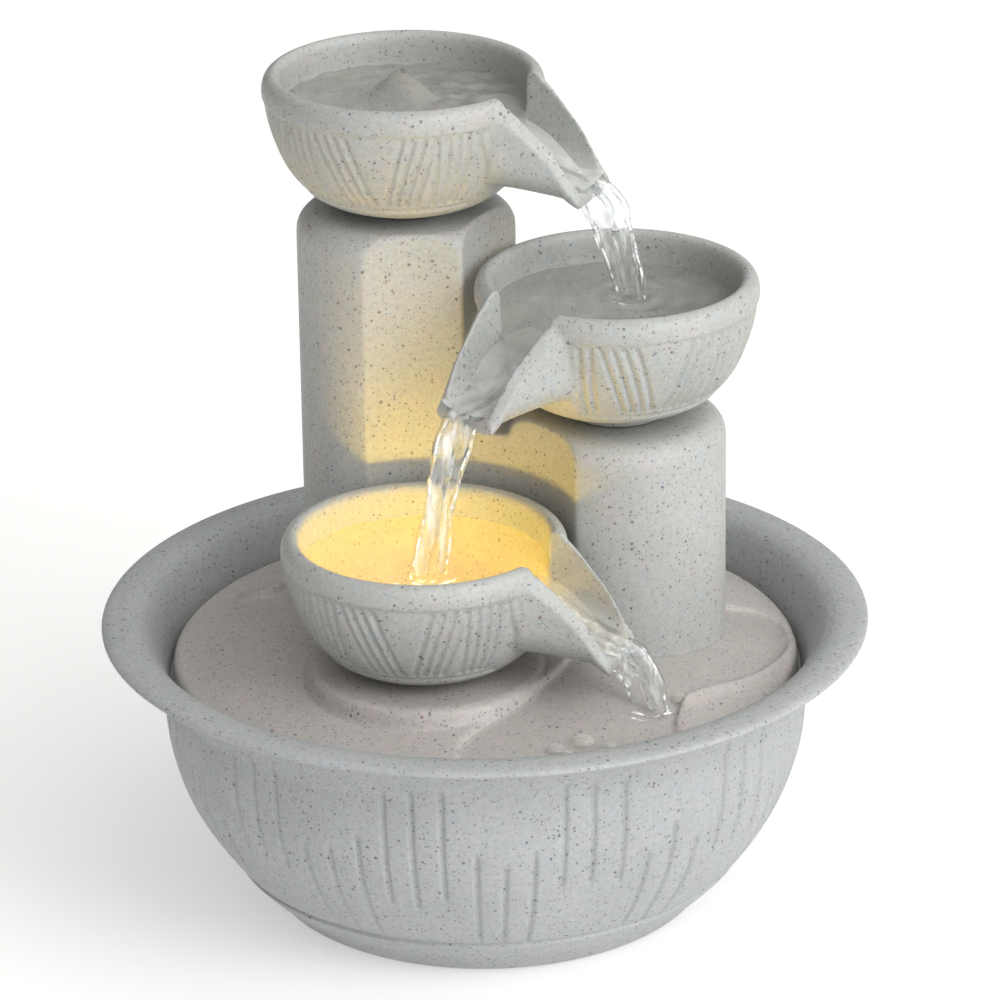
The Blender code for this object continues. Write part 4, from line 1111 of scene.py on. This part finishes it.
def make_stream(name, lands_on, land, widths, seed, twist, mats):
    """Falling water: a folded sheet, with uneven threads along its edges and down its middle."""
    spec = BOWLS[name]
    path, across, width, t = stream_frame(spec, land, widths, twist)
    film = stream_film(path, across, width, t, seed)
    phases = np.random.default_rng(seed).uniform(0, 6, 9)
    for part, (low, high, start, upper, lower) in enumerate(stream_spans(spec, lands_on, path)):
        span = slice(low, high + 1)
        sparkle = slice(max(low, STREAM_ROWS // 2), high + 1)
        threads, glints = [], []
        for k, (edge, thick) in enumerate(THREADS):
            wander = 0.35 * np.sin(t * 19.0 + phases[3 * k]) + 0.2 * np.sin(t * 43.0 + phases[3 * k + 1])
            line = path + across * (edge * width + wander)[:, None]
            swell = thick * (1.0 + 0.35 * np.sin(t * 37.0 + phases[3 * k + 2]) * np.sin(t * 11.0))
            threads.append(strand(line[span], swell[span]))
            if abs(edge) == 0.5 and high - sparkle.start > 4:
                # painted glints: glowing strands set a little in front of the edge threads
                in_front = line[sparkle] + np.array([0.1, -0.55, 0.1])
                glints.append(strand(in_front, 0.38 * swell[sparkle], 6))
        label = f"{name}_stream_{part + 1}"
        faces = grid_faces(high - low + 1, FILM_COLS, around=False)
        sheet = film[span].reshape(-1, 3)
        pieces = [make_piece(label + "_sheet", sheet, faces, mats["stream_sheet"], None),
                  make_piece(label + "_threads", *joined(threads), mats["stream"], None)]
        if glints:
            pieces.append(make_piece(label + "_glints", *joined(glints), mats["glint"], None))
        for piece in pieces:
            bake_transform(piece)


def splash_arcs(name, centre, arcs, body, mats):
    """Bright broken arcs on the water where a stream lands: (radius, from, to, thickness) each."""
    parts = []
    steps = 26
    for radius, low, high, thick in arcs:
        angle = np.radians(np.linspace(low, high, steps))
        line = np.column_stack([centre[0] + radius * np.cos(angle),
                                centre[1] + radius * 0.9 * np.sin(angle),
                                centre[2] + 0.25 * np.sin(angle * 5.0)])
        taper = thick * np.sin(np.linspace(0.15, math.pi - 0.15, steps))
        parts.append(strand(line, taper, 8))
    # painted glints: the arcs glow in the glint material
    make_piece(name, *joined(parts), mats["glint"], body)


def bubbles(name, places, body, mats):
    """Small domes of clear film, each with a rim."""
    parts = []
    cols = 24
    angles = round_angles(cols)
    turns = np.radians(np.linspace(2.0, 88.0, 8))
    for x, y, z, radius in places:
        profile = np.column_stack([radius * np.sin(turns), radius * 0.55 * np.cos(turns)])
        dome = turned_points(profile, angles, (x, y), z).reshape(-1, 3)
        parts.append((dome, grid_faces(len(turns), cols)))
        rim = turned_points(np.array([(radius, 0.0)]), angles, (x, y), z)[0]
        parts.append(strand(np.vstack([rim, rim[:1]]), np.full(cols + 1, 0.22), 6))
    make_piece(name, *joined(parts), mats["bubble"], body)


def make_water(mats):
    """The bowls' pools, the spouts' sheets, the streams, and the water on the deck and in the basin."""
    top, middle, lower = BOWLS["top_bowl"], BOWLS["middle_bowl"], BOWLS["lower_bowl"]
    top_land = (38.9, 9.6, middle["rim"] - POOL_DROP)
    middle_land = (-14.1, -37.8, lower["rim"] - POOL_DROP)
    lower_land = (42.0, -48.4, 70.0)
    top_rings = splash_at(to_local(middle, *top_land[:2]), 0.7)
    middle_rings = splash_at(to_local(lower, *middle_land[:2]), 0.6)
    pool_surface("top_bowl_water", top, mats["bowl_water"], mound)
    pool_surface("middle_bowl_water", middle, mats["bowl_water"], top_rings)
    pool_surface("lower_bowl_water", lower, mats["lit_water"], middle_rings)
    spout_sheet("top_spout_water", top, mats["pale_water"])
    spout_sheet("middle_spout_water", middle, mats["pale_water"])
    spout_sheet("lower_spout_water", lower, mats["spout_water"])
    for name, lands_on, land, widths, seed, twist in (
            ("top_bowl", "middle", top_land, (19.0, 17.5, 15.0, 11.0, 10.0, 10.5, 12.0), 3, -117.0),
            ("middle_bowl", "lower", middle_land, (19.0, 17.5, 14.5, 10.0, 7.5, 7.0, 8.5), 5, 58.0),
            ("lower_bowl", "deck", lower_land, (19.0, 17.0, 14.5, 12.0, 10.5, 10.5, 11.5), 9, -108.0)):
        make_stream(name, lands_on, land, widths, seed, twist, mats)
    splash_arcs("middle_landing_glints", top_land, [(6.5, 200.0, 290.0, 0.2)], "middle", mats)
    splash_arcs("lower_landing_glints", middle_land,
                [(4.6, 190.0, 300.0, 0.45), (6.8, 215.0, 262.0, 0.35), (7.4, 285.0, 345.0, 0.4),
                 (9.8, 205.0, 235.0, 0.3), (10.5, 300.0, 325.0, 0.3), (12.5, 240.0, 262.0, 0.25)],
                "lower", mats)
    splash_arcs("deck_landing_glints", lower_land,
                [(5.6, 200.0, 250.0, 0.3), (5.9, 275.0, 330.0, 0.3), (9.0, 225.0, 262.0, 0.2)],
                "deck", mats)
    bubbles("deck_bubbles", [(24.4, -65.2, 68.9, 2.9), (17.5, -68.6, 68.4, 2.1), (31.1, -67.3, 68.4, 1.8),
                             (49.5, -42.0, 69.6, 2.2), (20.5, -70.5, 68.0, 1.3)], "deck", mats)
    make_deck_film(mats, lower_land)
    make_basin_water(mats)


def make_deck_film(mats, land):
    """The film of water over the deck's pool, with rings round the place where the water lands."""
    step = 0.7
    x, y = np.meshgrid(np.arange(-8.0, 82.0, step), np.arange(-80.0, 18.0, step))
    d = distance(x, y, land)
    rings = 0.35 * np.cos(d * 1.25) * np.exp(-d / 9.0) + 0.12 * ripple_noise(x, y, 8.0, 31)
    radius = np.hypot(x, y)
    into_pool = pool_depth_field(x, y)
    level = dome_height(radius) - POOL_DEPTH + 0.7 + rings
    z = level - 2.6 * (1.0 - smooth_step(into_pool, -3.0, 0.6))
    off_column = distance(x, y, SHORT) > SHORT_R - 1.5
    wet = (into_pool > -2.6) & (radius < 80.6) & off_column
    whole = wet[:-1, :-1] & wet[1:, :-1] & wet[:-1, 1:] & wet[1:, 1:]
    index = np.arange(x.size).reshape(x.shape)
    quads = np.stack([index[:-1, :-1], index[:-1, 1:], index[1:, 1:], index[1:, :-1]], axis=-1)[whole]
    used, renumbered = np.unique(quads, return_inverse=True)
    points = np.stack([x, y, z], axis=-1).reshape(-1, 3)[used]
    make_piece("deck_film", points, renumbered.reshape(-1, 4), mats["deck_water"], "deck")


def make_basin_water(mats):
    """The reservoir's surface round the pump."""
    cols, rows = 160, 40
    edge = float(basin_outer_radius(WATER_LEVEL)) - BASIN_WALL - 0.1
    x, y = polar(np.linspace(0.5, edge, rows), round_angles(cols))
    z = WATER_LEVEL + 0.35 * ripple_noise(x, y, 24.0, 41)
    points = np.stack([x, y, z], axis=-1).reshape(-1, 3)
    make_piece("reservoir_water", points, grid_faces(rows, cols), mats["basin_water"], "base")


# ---------------------------------------------------------------- carried-over pieces

def finish_cad_nodes(mats):
    """Procedural finishes for every CAD node that stays."""
    slots = {part["node"]: part["material_slot"] for part in frame["record"]["subparts"]}
    for node, slot in slots.items():
        obj = bpy.data.objects.get(node)
        if obj is None or slot not in mats:
            continue
        obj.data.materials.clear()
        obj.data.materials.append(mats[slot])


# ---------------------------------------------------------------- stage

def make_world():
    """Soft surroundings: dim behind and to the left, brighter overhead and to the front right."""
    world = bpy.data.worlds.new("studio")
    world.use_nodes = True
    nodes = Nodes(world.node_tree)
    direction = nodes.node("ShaderNodeTexCoord").outputs["Generated"]
    level = WORLD_BASE
    for axis, low, gain in (((0.27, -0.05, 0.96), 0.0, 0.76), ((0.62, -0.78, 0.1), 0.12, 1.30)):
        toward = nodes.node("ShaderNodeVectorMath", {"operation": "DOT_PRODUCT"}, i0=direction, i1=axis)
        level = nodes.math("ADD", nodes.span(toward.outputs["Value"], low, 1.0, 0.0, gain), level)
    background = world.node_tree.nodes["Background"]
    nodes.feed(background.inputs["Color"], (1.0, 0.995, 0.985))
    nodes.feed(background.inputs["Strength"], level)
    bpy.context.scene.world = world


def add_light(name, kind, energy, color, place, aim):
    """A light at a place, shining along aim."""
    data = bpy.data.lights.new(name, kind)
    data.energy = energy
    data.color = color
    light = bpy.data.objects.new(name, data)
    light.location = place
    light.rotation_euler = Vector(aim).to_track_quat("-Z", "Y").to_euler()
    bpy.context.scene.collection.objects.link(light)
    return light


def make_floor():
    """A pale floor that gives back enough light to look white."""
    mesh = bpy.data.meshes.new("floor")
    corners = [(x * FLOOR_HALF, y * FLOOR_HALF, 0) for x, y in ((-1, -1), (1, -1), (1, 1), (-1, 1))]
    mesh.from_pydata(corners, [], [(0, 1, 2, 3)])
    floor = bpy.data.objects.new("floor", mesh)
    s = Shader("floor_pale")
    s.set(Base_Color=s.mix(s.noise(3.0), (0.68, 0.68, 0.67), (0.70, 0.70, 0.69)), Roughness=0.9)
    s.set(Emission_Color=(1.0, 1.0, 0.99), Emission_Strength=0.37)
    mesh.materials.append(s.mat)
    bpy.context.scene.collection.objects.link(floor)


def make_lights():
    """Two soft studio lights, and the lamp in the lower bowl, which moves with the bowl."""
    target = Vector((0.0, 0.0, 0.1))
    for name, place, size, energy, color in (
            ("key", (0.95, -0.90, 0.95), 0.8, 10.4, (0.985, 0.995, 1.0)),
            ("back", (0.5, 1.3, 1.3), 1.0, 1.0, (1.0, 1.0, 1.0))):
        add_light(name, "AREA", energy, color, place, target - Vector(place)).data.size = size

    place = (LOW[0] * MM, LOW[1] * MM, (BOWLS["lower_bowl"]["rim"] - LAMP_DROP) * MM)
    disc = add_light("bowl_lamp_area", "AREA", 0.036, LAMP_COLOR, place, UP)
    disc.data.shape = "DISK"
    disc.data.size = 0.012
    point = add_light("bowl_lamp_point", "POINT", 0.024, LAMP_COLOR, place, UP)
    point.data.shadow_soft_size = 0.005
    beam = add_light("bowl_lamp_spot", "SPOT", 0.09, LAMP_COLOR, place, (-0.08, 0.64, 0.77))
    beam.data.shadow_soft_size = 0.005
    beam.data.spot_size = math.radians(52.0)
    beam.data.spot_blend = 0.9
    for lamp in (disc, point, beam):
        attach(lamp, "lower")


def make_camera():
    """A long lens from the front, looking a little down."""
    data = bpy.data.cameras.new("camera")
    data.sensor_width = 36.0
    data.lens = CAMERA_LENS
    data.clip_start = 0.05
    data.clip_end = 50.0
    camera = bpy.data.objects.new("camera", data)
    tilt = Matrix.Rotation(math.pi / 2 - CAMERA_PITCH, 4, "X") @ Matrix.Rotation(CAMERA_ROLL, 4, "Z")
    camera.matrix_world = Matrix.Translation(Vector(CAMERA_PLACE)) @ tilt
    bpy.context.scene.collection.objects.link(camera)
    bpy.context.scene.camera = camera
    bpy.context.scene.view_settings.view_transform = "Standard"


def main():
    """Builds the visual model."""
    make_camera()
    mats = make_materials()
    finish_cad_nodes(mats)
    make_basin(mats)
    make_outlet(mats)
    make_feet(mats)
    make_deck(mats)
    make_lamp_hole(mats)
    make_columns(mats)
    make_bowls(mats)
    make_water(mats)
    make_floor()
    make_world()
    make_lights()


main()
